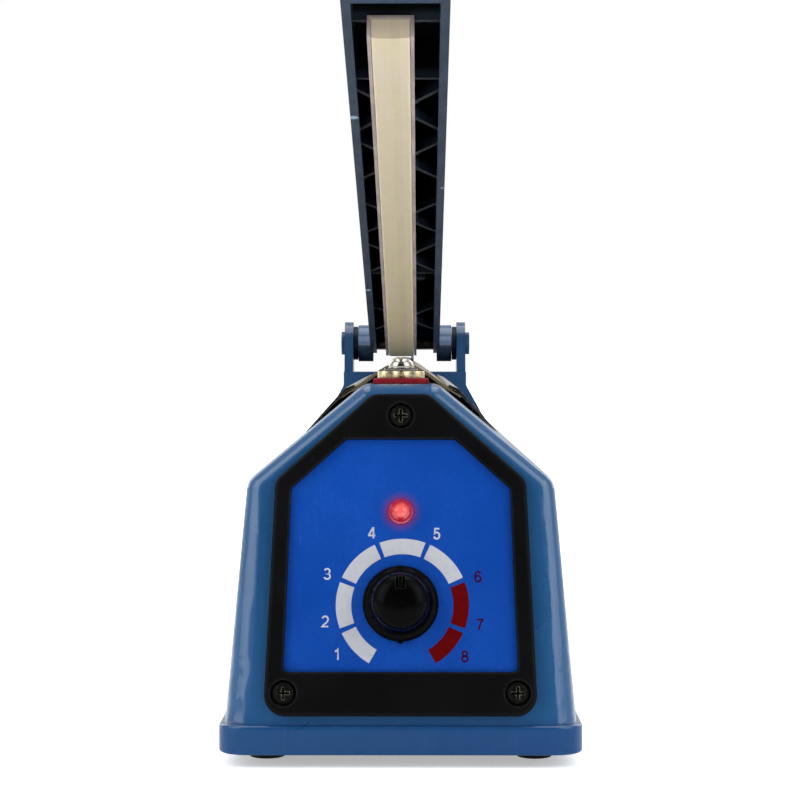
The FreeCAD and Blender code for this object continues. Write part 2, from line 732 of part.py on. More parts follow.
def terminal(tag, y, inward, tongue_y):
    """Insulator and terminal; inward is +1 or -1 towards the bed, tongue_y its span."""
    ridge_z = dim("ridge_z")
    plate = box(-6.8, 6.8, y - 6.2, y + 7.0, ridge_z + BED_GAP, ridge_z + 1.25)
    stem = cyl(0, y, ridge_z - 3.4, 2.5, 3.6)
    hole = cyl(0, y, ridge_z - 5, 1.6, 10)
    node(cut(fuse([plate, stem]), hole, tag + "_insulator"))
    lobes = [cyl(x, y - inward * 1.6, terminal_low, 3.05, TERMINAL_THICK)
             for x in (-2.75, 2.75)]
    slab = box(-5.7, 5.7, y - 1.2, y + 1.2, terminal_low, terminal_high)
    tongue = box(-2.2, 2.2, y + tongue_y[0], y + tongue_y[1], terminal_low, terminal_high)
    node(cut(fuse(lobes + [slab, tongue]), cyl(0, y, 85, 1.6, 12), tag + "_terminal"))


terminal("front", dim("term_front_y"), 1, (1.0, 5.2))
terminal("rear", dim("term_rear_y"), -1, (-5.2, -1.0))
node(group([prism("terminal_washer", [(-4.15, y - 3.4), (4.15, y - 3.4), (4.15, y + 2.2),
                                      (-4.15, y + 2.2)],
                  0.7, offset=terminal_high + BED_GAP, holes=[(0, y, 1.6)])
            for y in TERMINAL_YS], "terminal_washers"))

PAN_HEAD = [(0, -15.5), (1.5, -15.5), (1.5, 0), (3.1, 0), (3.12, 0.8), (2.8, 1.65),
            (1.9, 2.4), (0.8, 2.72), (0, 2.76)]
# wafer head, low enough for the sealing strip to pass over it
WAFER_HEAD = [(0, -15.5), (1.5, -15.5), (1.5, 0), (3.3, 0), (3.3, 0.3), (3.05, 0.54),
              (0, 0.54)]
terminal_screws = []
for y, label, outline, slot in (
        (TERMINAL_YS[0], "terminal_screw_blank", PAN_HEAD, (1.7, 0.36, 1.1, 3.2)),
        (TERMINAL_YS[1], "terminal_screw_low", WAFER_HEAD, (1.6, 0.3, 0.2, 1.2))):
    place = at(0, y, terminal_high.value + 0.74)
    blank = turned(label, outline, place)
    terminal_screws.append(cut(blank, cross_slot(*slot, place)))
node(group(terminal_screws, "terminal_screws"))
node(group([prism("lug_nut", hexagon(5.5, 0, y), 2.4, offset=80.4, holes=[(0, y, 1.52)])
            for y in TERMINAL_YS], "terminal_nuts"))

# ------------------------------------------------------------------ hinge hardware
hinge_y, hinge_z = dim("hinge_y"), dim("hinge_z")
ear_out = dim("ear_in") + dim("ear_thick")
BOLT_START, BOLT_END = -25.3, 24.4
HINGE_HEX = 8  # across flats
NUT_THICK = 1.4
HEX_GAP = 0.03


def hinge_hexagon(turn):
    return hexagon(HINGE_HEX, hinge_y.value, hinge_z.value, turn)


node(fuse([cyl(BOLT_START, hinge_y, hinge_z, dim("pin_rad"), BOLT_END - BOLT_START, "x"),
           prism("bolt_head", hinge_hexagon(12), 1.7, role="YZ_Plane",
                 offset=ear_out + HEX_GAP)], "hinge_bolt"))
node(prism("hinge_nut", hinge_hexagon(25), NUT_THICK, role="YZ_Plane",
           offset=-(ear_out + (NUT_THICK + HEX_GAP)),
           holes=[(hinge_y.value, hinge_z.value, 2.42)]))
washer_thick = dim("ear_in") - dim("barrel_out") - 0.3
node(group([cut(cyl(washer_x, hinge_y, hinge_z, 6.6, washer_thick, "x"),
                cyl(-30, hinge_y, hinge_z, 2.46, 60, "x"))
            for washer_x in (-(dim("ear_in") - 0.1), dim("barrel_out") + 0.2)],
           "hinge_washers"))


def swept_coil(helix, coil_radius, wire_radius, direction):
    circle = Part.makeCircle(wire_radius, Vector(coil_radius, 0, 0), direction)
    return Part.Wire(helix.Edges).makePipeShell([Part.Wire([circle])], True, True)


def arm_return_spring():
    """Torsion spring round the bolt: one leg forward at the top, one down at the back."""
    pitch, coil_radius, wire_radius, leg_radius = 1.22, 3.75, 0.55, 0.56
    coil_len = pitch * 7.25
    helix = Part.makeHelix(pitch, coil_len, coil_radius, 0, True)
    coil = swept_coil(helix, coil_radius, wire_radius, Vector(0, -1, 0.05))
    # Guards against a failed sweep of the left-handed helix: mirror a right-handed coil.
    if not coil.isValid() or coil.Volume < 100:
        helix = Part.makeHelix(pitch, coil_len, coil_radius)
        coil = swept_coil(helix, coil_radius, wire_radius, Vector(0, 1, 0.05))
        coil = coil.mirror(Vector(0, 0, 0), Vector(0, 1, 0))
    coil.rotate(Vector(0, 0, 0), Vector(0, 0, 1), 180)
    top_leg = Part.makeCylinder(leg_radius, 7.8, Vector(-coil_radius, 0.8, 0),
                                Vector(0, -1, 0))
    back_leg = Part.makeCylinder(leg_radius, 11.7, Vector(-0.8, coil_radius, coil_len),
                                 Vector(1, 0, 0))
    # the coil axis lies along X
    node(made("arm_return_spring", coil.fuse([top_leg, back_leg]),
              at(-5.9, SIZE["hinge_y"], SIZE["hinge_z"], AXIS_TURNS["x"])))


arm_return_spring()

# ------------------------------------------------------------------ switch rod and switch
rod_y = dim("rod_y")
rod_place = at(0, SIZE["rod_y"], 0)
node(turned("rod_bush", [(2.06, 84.0), (4.2, 84.0), (4.2, 90.12), (6.0, 90.12),
                         (6.0, 91.0), (5.6, 91.3), (2.06, 91.3)], rod_place))
node(turned("switch_rod", [(0, 54.0), (1.4, 54.0), (2.0, 54.6), (2.0, 93.1), (3.5, 93.1),
                           (3.5, 94.4), (3.0, 95.2), (1.8, 95.75), (0, 95.9)], rod_place))
node(cut(cyl(0, rod_y, 80.0, 4.2, 1.4), cyl(0, rod_y, 79, 2.02, 4), "rod_clip"))


def rod_spring():
    """Compression spring round the rod, with a closed ring at each end."""
    spring_len, coil_radius, wire_radius = 16.6, 3.2, 0.4
    helix = Part.makeHelix(3.0, spring_len, coil_radius)
    coil = swept_coil(helix, coil_radius, wire_radius, Vector(0, 1, 0.15))
    end_rings = [Part.makeTorus(coil_radius, wire_radius),
                 Part.makeTorus(coil_radius, wire_radius, Vector(0, 0, spring_len))]
    node(made("rod_spring", coil.fuse(end_rings), at(0, SIZE["rod_y"], 62.6)))


rod_spring()

# bracket: upright plate beside the switch, foot on the base plate, guide tab above
bracket_low = foot_top + 1.25
bracket_blank = fuse([box(5.4, 6.6, 138, 170, bracket_low, 62.0),
                      box(5.4, 20, 138, 170, bracket_low, foot_top + 2.45),
                      box(-5.5, 6.6, 156, 170, 60.8, 62.0)])
bracket_holes = [cyl(0, rod_y, 55, 2.12, 10)]
bracket_holes += upright_rounds(BRACKET_SCREWS, 0, 1.45, 10)
bracket_holes += [cyl(0, y, z, 1.52, 10, "x") for y, z in SWITCH_SCREWS]
node(cut(bracket_blank, fuse(bracket_holes), "switch_bracket"))

switch_case = box(-5.15, 5.35, 139, 166.8, 33.7, 49.4)
switch_cuts = [cyl(-6, y, z, 1.52, 14, "x") for y, z in SWITCH_SCREWS]
switch_cuts += [box(-2.3, 2.3, 149.4, 152.8, 46.9, 50),
                box(-3.2, 3.2, 139.0, 144.2, 47.9, 50)]
switch_tabs = [box(-3.1, -2.3, y, y + 4, 27.5, 33.8) for y in (141, 151, 161)]
node(fuse([cut(switch_case, fuse(switch_cuts))] + switch_tabs, "micro_switch"))
node(box(-2.2, 2.2, 149.5, 152.7, 47.7, 50.95, "switch_button"))

# lever, free end under the rod; 7 degrees above level at rest
lever_blade = Part.makeBox(4.4, 24.0, 0.4, Vector(-2.2, 0, -0.2))
lever_hub = Part.makeCylinder(0.9, 5.6, Vector(-2.8, 0, 0), Vector(1, 0, 0))
node(made("switch_lever", lever_blade.fuse(lever_hub).removeSplitter(),
          at(0, 142.2, 50.95, Rotation(Vector(1, 0, 0), 7.0))))

switch_screws = [fuse([cyl(-7.2, y, z, 1.45, 15.4, "x"), cyl(-7.2, y, z, 2.7, 2.0, "x")])
                 for y, z in SWITCH_SCREWS]
switch_screws += [fuse([cyl(x, y, foot_top - 1.2, 1.4, 5.0),
                        cyl(x, y, foot_top + 2.47, 2.7, 1.9)]) for x, y in BRACKET_SCREWS]
node(group(switch_screws, "switch_screws"))

# ------------------------------------------------------------------ transformer
core_y = dim("core_y")
core_half = dim("core_w") / 2
core_y0, core_y1 = core_y - dim("core_stack") / 2, core_y + dim("core_stack") / 2
core_low = foot_top + dim("plate_thick") + 0.05
core_high = core_low + dim("core_tall")

core_block = box(-core_half, core_half, core_y0, core_y1, core_low, core_high)
windows = [box(x, x + 9.6, core_y - 40, core_y + 40, core_low + 9.5, core_low + 38.5)
           for x in (9.5, -19.1)]
node(cut(core_block, fuse(windows), "transformer_core"))
coil_block = box(-18.9, 18.9, core_y - 28, core_y + 28, core_low + 10.2, core_low + 37.8)
centre_leg = box(-9.7, 9.7, core_y0 - 0.1, core_y1 + 0.1, core_low, core_low + 60)
node(cut(coil_block, centre_leg, "transformer_coil"))

STRAP_OUT, STRAP_IN, STRAP_END = 29.8, 28.6, 37.2
strap_y0, strap_y1, strap_high = core_y - 10, core_y + 10, core_high + 1.2
strap = fuse([
    box(-STRAP_OUT, STRAP_OUT, strap_y0, strap_y1, core_high + 0.03, strap_high),
    box(-STRAP_OUT, -STRAP_IN, strap_y0, strap_y1, core_low, strap_high),
    box(STRAP_IN, STRAP_OUT, strap_y0, strap_y1, core_low, strap_high),
    box(-STRAP_END, -STRAP_IN, strap_y0, strap_y1, core_low, core_low + 1.2),
    box(STRAP_IN, STRAP_END, strap_y0, strap_y1, core_low, core_low + 1.2)])
node(cut(strap, fuse(upright_rounds(CORE_SCREWS, 0, 1.95, 12)), "transformer_strap"))
node(group([fuse([cyl(x, y, 0.6, 1.88, 6.0), cyl(x, y, core_low + 1.22, 3.4, 2.4)])
            for x, y in CORE_SCREWS], "transformer_screws"))

# ------------------------------------------------------------------ timer board
BOARD_LOW, BOARD_HIGH = 14.0, 15.6
PARTS_LOW = 15.62  # underside of the parts on the board
POST_LOW, POST_HIGH = 4.22, 13.98

board_blank = box(-28, 28, -152, -82, BOARD_LOW, BOARD_HIGH)
node(cut(board_blank, fuse(upright_rounds(BOARD_SCREWS, 10, 1.55, 10)), "timer_board"))
node(group([cut(prism("standoff", hexagon(6, x, y), POST_HIGH - POST_LOW, offset=POST_LOW),
                cyl(x, y, 2, 1.48, 14)) for x, y in BOARD_SCREWS], "board_standoffs"))
# each standoff takes one screw from above and one from below
upper_screws = [fuse([cyl(x, y, PARTS_LOW, 2.7, 1.8), cyl(x, y, 10.2, 1.42, 6)])
                for x, y in BOARD_SCREWS]
lower_screws = [fuse([cyl(x, y, 1.2, 2.6, 1.78), cyl(x, y, 1.4, 1.42, 7.6)])
                for x, y in BOARD_SCREWS]
node(group(upper_screws + lower_screws, "board_screws"))
node(rounded(box(-19, 0, -140, -124, PARTS_LOW, 31.0),
             lambda e: 1.0 if e.BoundBox.ZMin > 30.9 or is_upright(e) else 0,
             "timer_relay"))


def capacitor(x, y, radius, top):
    """A can with a crimped neck near its foot."""
    return turned("capacitor", [
        (0, PARTS_LOW), (radius, PARTS_LOW), (radius, 16.6), (radius - 0.35, 17.0),
        (radius, 17.4), (radius, top - 0.5), (radius - 0.5, top), (0, top)], at(x, y, 0))


# x, y, radius, top
CAPACITORS = [(10, -134, 5.0, 32.0), (20, -122, 4.0, 27.0), (8, -118, 3.2, 24.0)]
node(group([capacitor(*entry) for entry in CAPACITORS], "board_capacitors"))
TERMINAL_XS = (-13.6, -6.8, 0, 6.8, 13.6)
block_holes = [cyl(x, -94.5, 20, 1.9, 10) for x in TERMINAL_XS]
node(cut(box(-17, 17, -99, -90.5, PARTS_LOW, 26.0), fuse(block_holes), "terminal_block"))
node(group([box(11, 27, -113, -111.6, PARTS_LOW, 36),
            box(14, 24, -111.58, -107, PARTS_LOW, 30)], "triac_and_heat_sink"))

# ------------------------------------------------------------------ cord and mains plug
cord_x, cord_z, cord_radius = SIZE["cord_x"], SIZE["cord_z"], SIZE["cord_rad"]
rear_y = SIZE["rear_y"]
node(turned("strain_relief", [
    (3.3, -6.0), (6.2, -6.0), (6.95, -5.0), (6.95, 0.35), (9.0, 0.35), (9.0, 2.6),
    (6.4, 3.0), (5.6, 6.0), (5.3, 14.0), (3.3, 14.0)],
    at(cord_x, rear_y, cord_z, AXIS_TURNS["y"])))


def arc_through(start, middle, end):
    return Part.Arc(Vector(*start), Vector(*middle), Vector(*end)).toShape()


def line_between(start, end):
    return Part.makeLine(Vector(*start), Vector(*end))


def s_bend(start, end, forward):
    """Two equal arcs that shift a run sideways across its forward direction."""
    start, end, forward = Vector(*start), Vector(*end), Vector(*forward)
    along = (end - start).dot(forward)
    across = (end - start) - forward * along
    shift = across.Length
    sideways = across * (1.0 / shift)
    sweep = 2 * math.atan2(shift, along)
    radius = shift / (2 * (1 - math.cos(sweep)))
    middle = (start + end) * 0.5
    ahead = forward * (radius * math.sin(sweep / 2))
    aside = sideways * (radius * (1 - math.cos(sweep / 2)))
    return [Part.Arc(start, start + ahead + aside, middle).toShape(),
            Part.Arc(middle, end - ahead - aside, end).toShape()]


CORD_START_Y = 178
CORD_STRAIGHT = 15  # straight run behind the casting
FOLD_FRONT_Y, FOLD_REAR_Y = 262, 278  # where the bends of the folded cord begin
FOLD_X = -40.0  # first fold
FOLD_COUNT = 5
FOLD_RADIUS, FOLD_RADIUS_STEP = 50.0, 3.6
LAST_BEND_RADIUS = 10
PLUG_Y, PLUG_Z = 268, 7.7
PLUG_RISE_RUN = 16.2  # length over which the cord rises to the plug


def power_cord():
    """Cord down to the ground, folded to and fro, and up into the plug; returns its end x."""
    ground_z = cord_radius + 0.05
    leave_y = rear_y + CORD_STRAIGHT
    run = [line_between((cord_x, CORD_START_Y, cord_z), (cord_x, leave_y, cord_z))]
    run += s_bend((cord_x, leave_y, cord_z), (FOLD_X, FOLD_FRONT_Y, ground_z), (0, 1, 0))
    run.append(line_between((FOLD_X, FOLD_FRONT_Y, ground_z),
                            (FOLD_X, FOLD_REAR_Y, ground_z)))
    x, radius, at_rear = FOLD_X, FOLD_RADIUS, True
    for fold in range(FOLD_COUNT):
        if at_rear:
            next_x, y, other_y, bulge = x + 2 * radius, FOLD_REAR_Y, FOLD_FRONT_Y, radius
        else:
            next_x, y, other_y, bulge = x - 2 * radius, FOLD_FRONT_Y, FOLD_REAR_Y, -radius
        run.append(arc_through((x, y, ground_z), ((x + next_x) / 2, y + bulge, ground_z),
                               (next_x, y, ground_z)))
        if fold < FOLD_COUNT - 1:
            run.append(line_between((next_x, y, ground_z), (next_x, other_y, ground_z)))
        x, radius, at_rear = next_x, radius - FOLD_RADIUS_STEP, not at_rear
    # quarter bend and a short rise into the plug
    bend = LAST_BEND_RADIUS
    run.append(arc_through(
        (x, FOLD_REAR_Y, ground_z),
        (x - bend + bend * math.cos(math.pi / 4),
         FOLD_REAR_Y - bend * math.sin(math.pi / 4), ground_z),
        (x - bend, PLUG_Y, ground_z)))
    end_x = x - bend - PLUG_RISE_RUN
    run += s_bend((x - bend, PLUG_Y, ground_z), (end_x, PLUG_Y, PLUG_Z), (-1, 0, 0))
    profile = Part.Wire([Part.makeCircle(cord_radius, Vector(cord_x, CORD_START_Y, cord_z),
                                         Vector(0, 1, 0))])
    node(made("power_cord", Part.Wire(run).makePipeShell([profile], True, False)))
    return end_x


plug_x = power_cord()

# ------------------------------------------------------------------ arm
# Laid out level in its own frame about the hinge line, forward along -Y, then raised.
STRIP_SCREWS = (70.0, 203.0, 322.0)  # distances forward of the hinge
arm_half = dim("arm_w") / 2
arm_len, roof_z, roof_thick = dim("arm_len"), dim("roof_z"), dim("roof_thick")
strip_mid = dim("strip_off")
inner_half = SIZE["arm_w"] / 2 - SIZE["arm_wall"]


def on_arm(obj):
    """Carry a piece laid out in the arm's own frame into place with the arm."""
    obj.Placement = ARM.multiply(obj.Placement)
    for axis in ("x", "y", "z"):
        obj.setExpression("Placement.Base." + axis, None)
    return obj


def strip_screw_holes(z, radius, tall):
    return [on_arm(cyl(strip_mid.value, -forward, z, radius, tall))
            for forward in STRIP_SCREWS]


def rib(x0, forward_0, x1, forward_1, thick, top):
    """Upright rib between two points, each given by x and distance forward."""
    low = SIZE["rib_low"]
    dx, dy = x1 - x0, -(forward_1 - forward_0)
    shape = Part.makeBox(math.hypot(dx, dy) + 1.6, thick, top - low,
                         Vector(-0.8, -thick / 2, low))
    angle = math.degrees(math.atan2(dy, dx))
    shape.Placement = at(x0, -forward_0, 0, Rotation(Vector(0, 0, 1), angle))
    return shape


def post(x, forward, radius, tall, low=SIZE["rib_low"]):
    return Part.makeCylinder(radius, tall, Vector(x, -forward, low))


# crossed ribs: distance forward of their near and far ends, top height
CROSSED_RIBS = [(24.6, 58.1, 11.9), (108.5, 141.9, 11.9), (157.3, 188.4, 11.9),
                (215.5, 248.2, 11.9), (261.0, 293.8, 10.8)]
# ribs square across the arm: distance forward, top height
SQUARE_RIBS = [(105.5, 11.9), (303.0, 10.8), (345.0, 10.2)]


def arm_ribs():
    ribs = []
    thick = SIZE["rib_thick"]
    for near, far, top in CROSSED_RIBS:
        ribs.append(rib(-inner_half, near, inner_half, far, thick, top))
        ribs.append(rib(-inner_half, far, inner_half, near, thick, top))
    for forward, top in SQUARE_RIBS:
        ribs.append(rib(-inner_half, forward, inner_half, forward, 1.5, top))
    for forward, tall in zip(STRIP_SCREWS, (12.2, 12.2, 11.0)):
        ribs.append(post(strip_mid.value, forward, 3.2, tall))
    ribs.append(post(strip_mid.value + 7.4, 94.0, 1.9, 11.0, SIZE["rib_low"] + 1.2))
    # crossed ribs thickened beside the strip, where each is this part of the way across
    part_across = 0.70
    for near, far, _ in CROSSED_RIBS:
        for part_forward in (0.70, 0.30):
            ribs.append(post(-inner_half + 2 * inner_half * part_across,
                             near + (far - near) * part_forward, 1.15, 11.0))
    return made("arm_ribs", ribs[0].multiFuse(ribs[1:]), ARM)


def arm_casting():
    # (y, z) side outline, from the rear end forward along the rim and back over the roof
    rim_z = dim("rim_z")
    outer = prism("arm_outer", [
        (8.6, 0.5), (3.0, rim_z), (-(arm_len - 6), rim_z), (-arm_len, rim_z + 3.0),
        (-arm_len, 2.5), (-(arm_len - 14), 5.6), (-(arm_len - 60), 9.4), (-300, 12.4),
        (-60, roof_z), (-8, roof_z), (3.0, 12.6), (8.6, 8.2)],
        dim("arm_w"), role="YZ_Plane", mid=True, place=ARM)
    # hollow, open underneath
    hollow_end = -(arm_len - 66)
    hollow = prism("arm_hollow", [
        (6.2, -20), (hollow_end, -20), (hollow_end, -roof_thick + 9.4),
        (-300, -roof_thick + 12.4), (-60, roof_z - roof_thick), (-8, roof_z - roof_thick),
        (2.4, -roof_thick + 12.6), (6.2, 8.0)],
        dim("arm_w") - dim("arm_wall") * 2, role="YZ_Plane", mid=True, place=ARM)
    barrel_len = dim("barrel_out") - arm_half + 1.0
    barrels = [cyl(x, 0, 0, dim("barrel_rad"), barrel_len, "x")
               for x in (-dim("barrel_out"), arm_half - 1.0)]
    ribs = arm_ribs()
    barrels = [on_arm(barrel) for barrel in barrels]
    channel = cut(outer, hollow, "arm_channel")
    bore = on_arm(cyl(-30, 0, 0, dim("bore_rad"), 60, "x"))
    screw_holes = strip_screw_holes(-2, 1.28, 10.0)
    solid = fuse([channel, ribs] + barrels, "arm_body")
    node(cut(solid, fuse([bore] + screw_holes), "arm_casting"))


def strip_holder():
    """Channel under the arm that grips the strip."""
    high = dim("rib_low") - 0.05
    lip = dim("strip_face") + 0.55
    outer, inner = dim("holder_w") / 2, dim("strip_w") / 2 + 0.04
    blank = prism_along_y("holder_blank", [
        (strip_mid - outer, lip), (strip_mid - inner, lip), (strip_mid - inner, high - 1.0),
        (strip_mid + inner, high - 1.0), (strip_mid + inner, lip), (strip_mid + outer, lip),
        (strip_mid + outer, high), (strip_mid - outer, high)],
        -dim("strip_end"), -dim("strip_start"), ARM)
    node(cut(blank, fuse(strip_screw_holes(-3, 1.32, 10.0)), "strip_holder"))


def silicone_strip():
    high = dim("rib_low") - 0.05 - 1.06
    half, face = dim("strip_w") / 2, dim("strip_face")
    blank = prism_along_y("strip_blank", [
        (strip_mid - half, face + 0.4), (strip_mid - half + 0.4, face),
        (strip_mid + half - 0.4, face), (strip_mid + half, face + 0.4),
        (strip_mid + half, high), (strip_mid - half, high)],
        -(dim("strip_end") - 0.3), -(dim("strip_start") + 0.3), ARM)
    node(cut(blank, fuse(strip_screw_holes(-3.9, 2.8, 4.0)), "silicone_strip"))


arm_casting()
strip_holder()
silicone_strip()
HOLDER_SCREW = [(0, -3.1), (2.3, -3.1), (2.3, -1.5), (1.25, -1.5), (1.25, 6.5), (0, 6.5)]
node(group([turned("holder_screw", HOLDER_SCREW,
                   ARM.multiply(at(strip_mid.value, -forward, 0)))
            for forward in STRIP_SCREWS], "holder_screws"))


# ------------------------------------------------------------------ wires
def smooth_pipe(points, radius):
    """A round wire along a smooth curve through points."""
    points = [Vector(*p) for p in points]
    curve = Part.BSplineCurve()
    curve.interpolate(points)
    start_direction = curve.tangent(curve.FirstParameter)[0]
    profile = Part.Wire([Part.makeCircle(radius, points[0], start_direction)])
    return Part.Wire([curve.toShape()]).makePipeShell([profile], True, True)


def wires(label, runs):
    """Runs are (radius, points along the wire)."""
    node(group([made(label + "_run", smooth_pipe(points, radius))
                for radius, points in runs], label))


# from under each terminal to the transformer coil
wires("element_leads", [
    (1.25, [(0, -163.2, 82.6), (0.4, -162, 75), (6, -145, 62), (15, -100, 56),
            (16, -50, 54), (12, -14, 44), (10, -3.2, 38), (9, 0.4, 36.5)]),
    (1.25, [(0, 144.2, 82.6), (-0.6, 143, 76), (-9, 128, 64), (-15, 100, 56),
            (-14, 76, 46), (-11, 63.7, 38), (-9, 59.6, 36.5)]),
])
wires("control_leads", [
    # lamp to the terminal block
    (0.7, [(-2.0, -181.0, 57.2), (-2.5, -176, 54), (-5, -165, 44), (-7, -148, 36),
           (-7.5, -112, 36), (-6.8, -96, 31), (-6.8, -94.5, 27.0)]),
    (0.7, [(2.0, -181.0, 57.2), (2.5, -176, 54), (4, -165, 46), (3, -150, 42),
           (1.0, -108, 42), (0.0, -96, 33), (0.0, -94.5, 27.0)]),
    # beside the potentiometer to the terminal block
    (0.7, [(12, -178, 33), (18, -165, 38), (23, -140, 43), (18, -112, 44),
           (13.8, -97, 34), (13.6, -94.5, 27.0)]),
    # cord to the transformer coil
    (0.9, [(-18.6, 175, 22), (-20, 168, 22.5), (-24, 140, 26), (-25, 100, 30),
           (-22, 72, 34), (-17, 63, 32), (-15, 59.8, 31)]),
    # cord to the terminal block
    (0.9, [(-21.4, 175, 22), (-24, 165, 20), (-31, 110, 16), (-33.8, 60, 15),
           (-34.0, 30, 22), (-32.2, 0, 34), (-30, -50, 32), (-20, -84, 40),
           (-14.4, -93, 34), (-13.6, -94.5, 27.0)]),
    # switch to the terminal block
    (0.7, [(-2.7, 163, 27.0), (-3.2, 157, 20), (-10, 130, 13), (-20, 100, 11),
           (-30, 75, 11), (-33.2, 56, 12.5), (-33.8, 32, 17), (-32.6, 4, 26),
           (-31, -30, 22), (-26, -60, 24), (-8, -82, 38), (5, -92, 34),
           (6.8, -94.5, 27.0)]),
])

# mains plug at the end of the folded cord: rounded body, tapered neck, two flat pins
plug_body = rounded(box(plug_x - 28, plug_x - 6.5, PLUG_Y - 12, PLUG_Y + 12, 0.1, 15.3),
                    lambda e: 3.0, "plug_rounds")
plug_neck = cone(plug_x - 7.5, PLUG_Y, PLUG_Z, 6.6, 4.4, 7.3, "x")
plug_pins = [box(plug_x - 41.0, plug_x - 27.5, y, y + 1.5, 4.55, 10.85)
             for y in (260.9, 273.6)]
node(fuse([plug_body, plug_neck] + plug_pins, "mains_plug"))

# ------------------------------------------------------------------ check and export
doc.recompute()
faults = ["%s (%s): %s" % (obj.Label, obj.Name, obj.State) for obj in doc.Objects
          if any(flag in ("Invalid", "Error") for flag in obj.State)]
faults += ["node %s: no valid solid" % obj.Label for obj in NODES
           if obj.Shape.isNull() or not obj.Shape.isValid() or not obj.Shape.Solids]
if faults:
    raise RuntimeError("failed objects: " + "; ".join(faults))
os.makedirs("parts", exist_ok=True)
for obj in NODES:
    obj.Shape.exportStep("parts/%s.step" % obj.Label)
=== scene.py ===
# Impulse heat sealer: a blue enamelled body whose leaning front panel carries a timer dial and
# a pilot lamp, a cloth-covered sealing bed along the top, and a lifting arm hinged at the rear.
# It stands on z = 0 with its length along Y: the front panel faces -Y, and right is +X.
# Lengths are in mm for the meshes and in metres for textures, lights and the camera.
import math
import random
from functools import cached_property

import bmesh
import bpy
from mathutils import Matrix, Vector, noise


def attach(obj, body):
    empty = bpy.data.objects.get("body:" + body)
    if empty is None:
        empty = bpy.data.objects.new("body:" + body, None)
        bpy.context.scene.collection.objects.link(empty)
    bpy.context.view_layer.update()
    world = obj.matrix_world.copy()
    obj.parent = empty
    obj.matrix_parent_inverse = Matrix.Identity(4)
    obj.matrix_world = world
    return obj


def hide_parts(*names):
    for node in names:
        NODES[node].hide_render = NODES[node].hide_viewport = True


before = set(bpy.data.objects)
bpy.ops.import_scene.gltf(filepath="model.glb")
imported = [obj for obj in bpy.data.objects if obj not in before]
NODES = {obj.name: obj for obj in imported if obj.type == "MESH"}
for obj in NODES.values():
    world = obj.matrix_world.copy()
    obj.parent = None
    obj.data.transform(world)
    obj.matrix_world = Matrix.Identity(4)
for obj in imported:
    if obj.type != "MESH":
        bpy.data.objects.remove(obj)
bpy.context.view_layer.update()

MM = 0.001
scene = bpy.context.scene
random.seed(7)

# ---------------------------------------------------------------- frames of reference
# Panel frame: x across, y up the face, z out of the face.
LEAN = math.radians(9)
PANEL = Matrix((
    (1, 0, 0, 0),
    (0, math.sin(LEAN), -math.cos(LEAN), -0.199),
    (0, math.cos(LEAN), math.sin(LEAN), 0.010),
    (0, 0, 0, 1),
))
# Arm frame: origin at the rear, y back along the arm, z upward through it.
ARM_AT = Vector((0, 0.185, 0.1014))
ARM_TURN = (Matrix.Rotation(math.radians(-13.6), 4, "X")
            @ Matrix.Rotation(math.radians(-0.22), 4, "Z"))
ARM = Matrix.Translation(ARM_AT) @ ARM_TURN


def put(place, x, y, z):
    """A point given in mm in the frame `place`."""
    return place @ (Vector((x, y, z)) * MM)


LAMP = put(PANEL, 0, 50.35, 1.2)  # where the pilot lamp meets the label
LAMP_HOT_SPOT = put(PANEL, 0.15, 50.5, 4.2)

DIAL_UP = 28.5  # the knob's axis on the panel
STRIP_X = -1.4  # centre of the silicone strip across the arm


# ---------------------------------------------------------------- material kit
MATERIALS = {}
GLOSS = dict(detail=5, rough=0.65, span=(0.25, 0.75))  # the usual uneven gloss
SOCKETS = {
    "color": "Base Color", "metal": "Metallic", "rough": "Roughness", "normal": "Normal",
    "coat": "Coat Weight", "coat_rough": "Coat Roughness", "spec": "Specular IOR Level",
    "sss": "Subsurface Weight", "sss_scale": "Subsurface Scale",
    "sss_radius": "Subsurface Radius", "sheen": "Sheen Weight",
    "sheen_rough": "Sheen Roughness", "glow": "Emission Color",
    "glow_power": "Emission Strength", "aniso": "Anisotropic",
}


def rgb(red, green, blue, gain=1):
    """A linear colour from 0-255 sRGB, brightened or darkened by gain."""
    linear = []
    for level in (red, green, blue):
        level /= 255
        level = level / 12.92 if level <= 0.04045 else ((level + 0.055) / 1.055) ** 2.4
        linear.append(min(level * gain, 1))
    return (*linear, 1)


def add_node(tree, kind, inputs=None, **props):
    """Adds a node; an input is either linked from a socket or set to a value."""
    node = tree.nodes.new(kind)
    for key, value in props.items():
        setattr(node, key, value)
    for key, value in (inputs or {}).items():
        socket = node.inputs[key]
        if isinstance(value, bpy.types.NodeSocket):
            tree.links.new(value, socket)
        else:
            socket.default_value = value
    return node


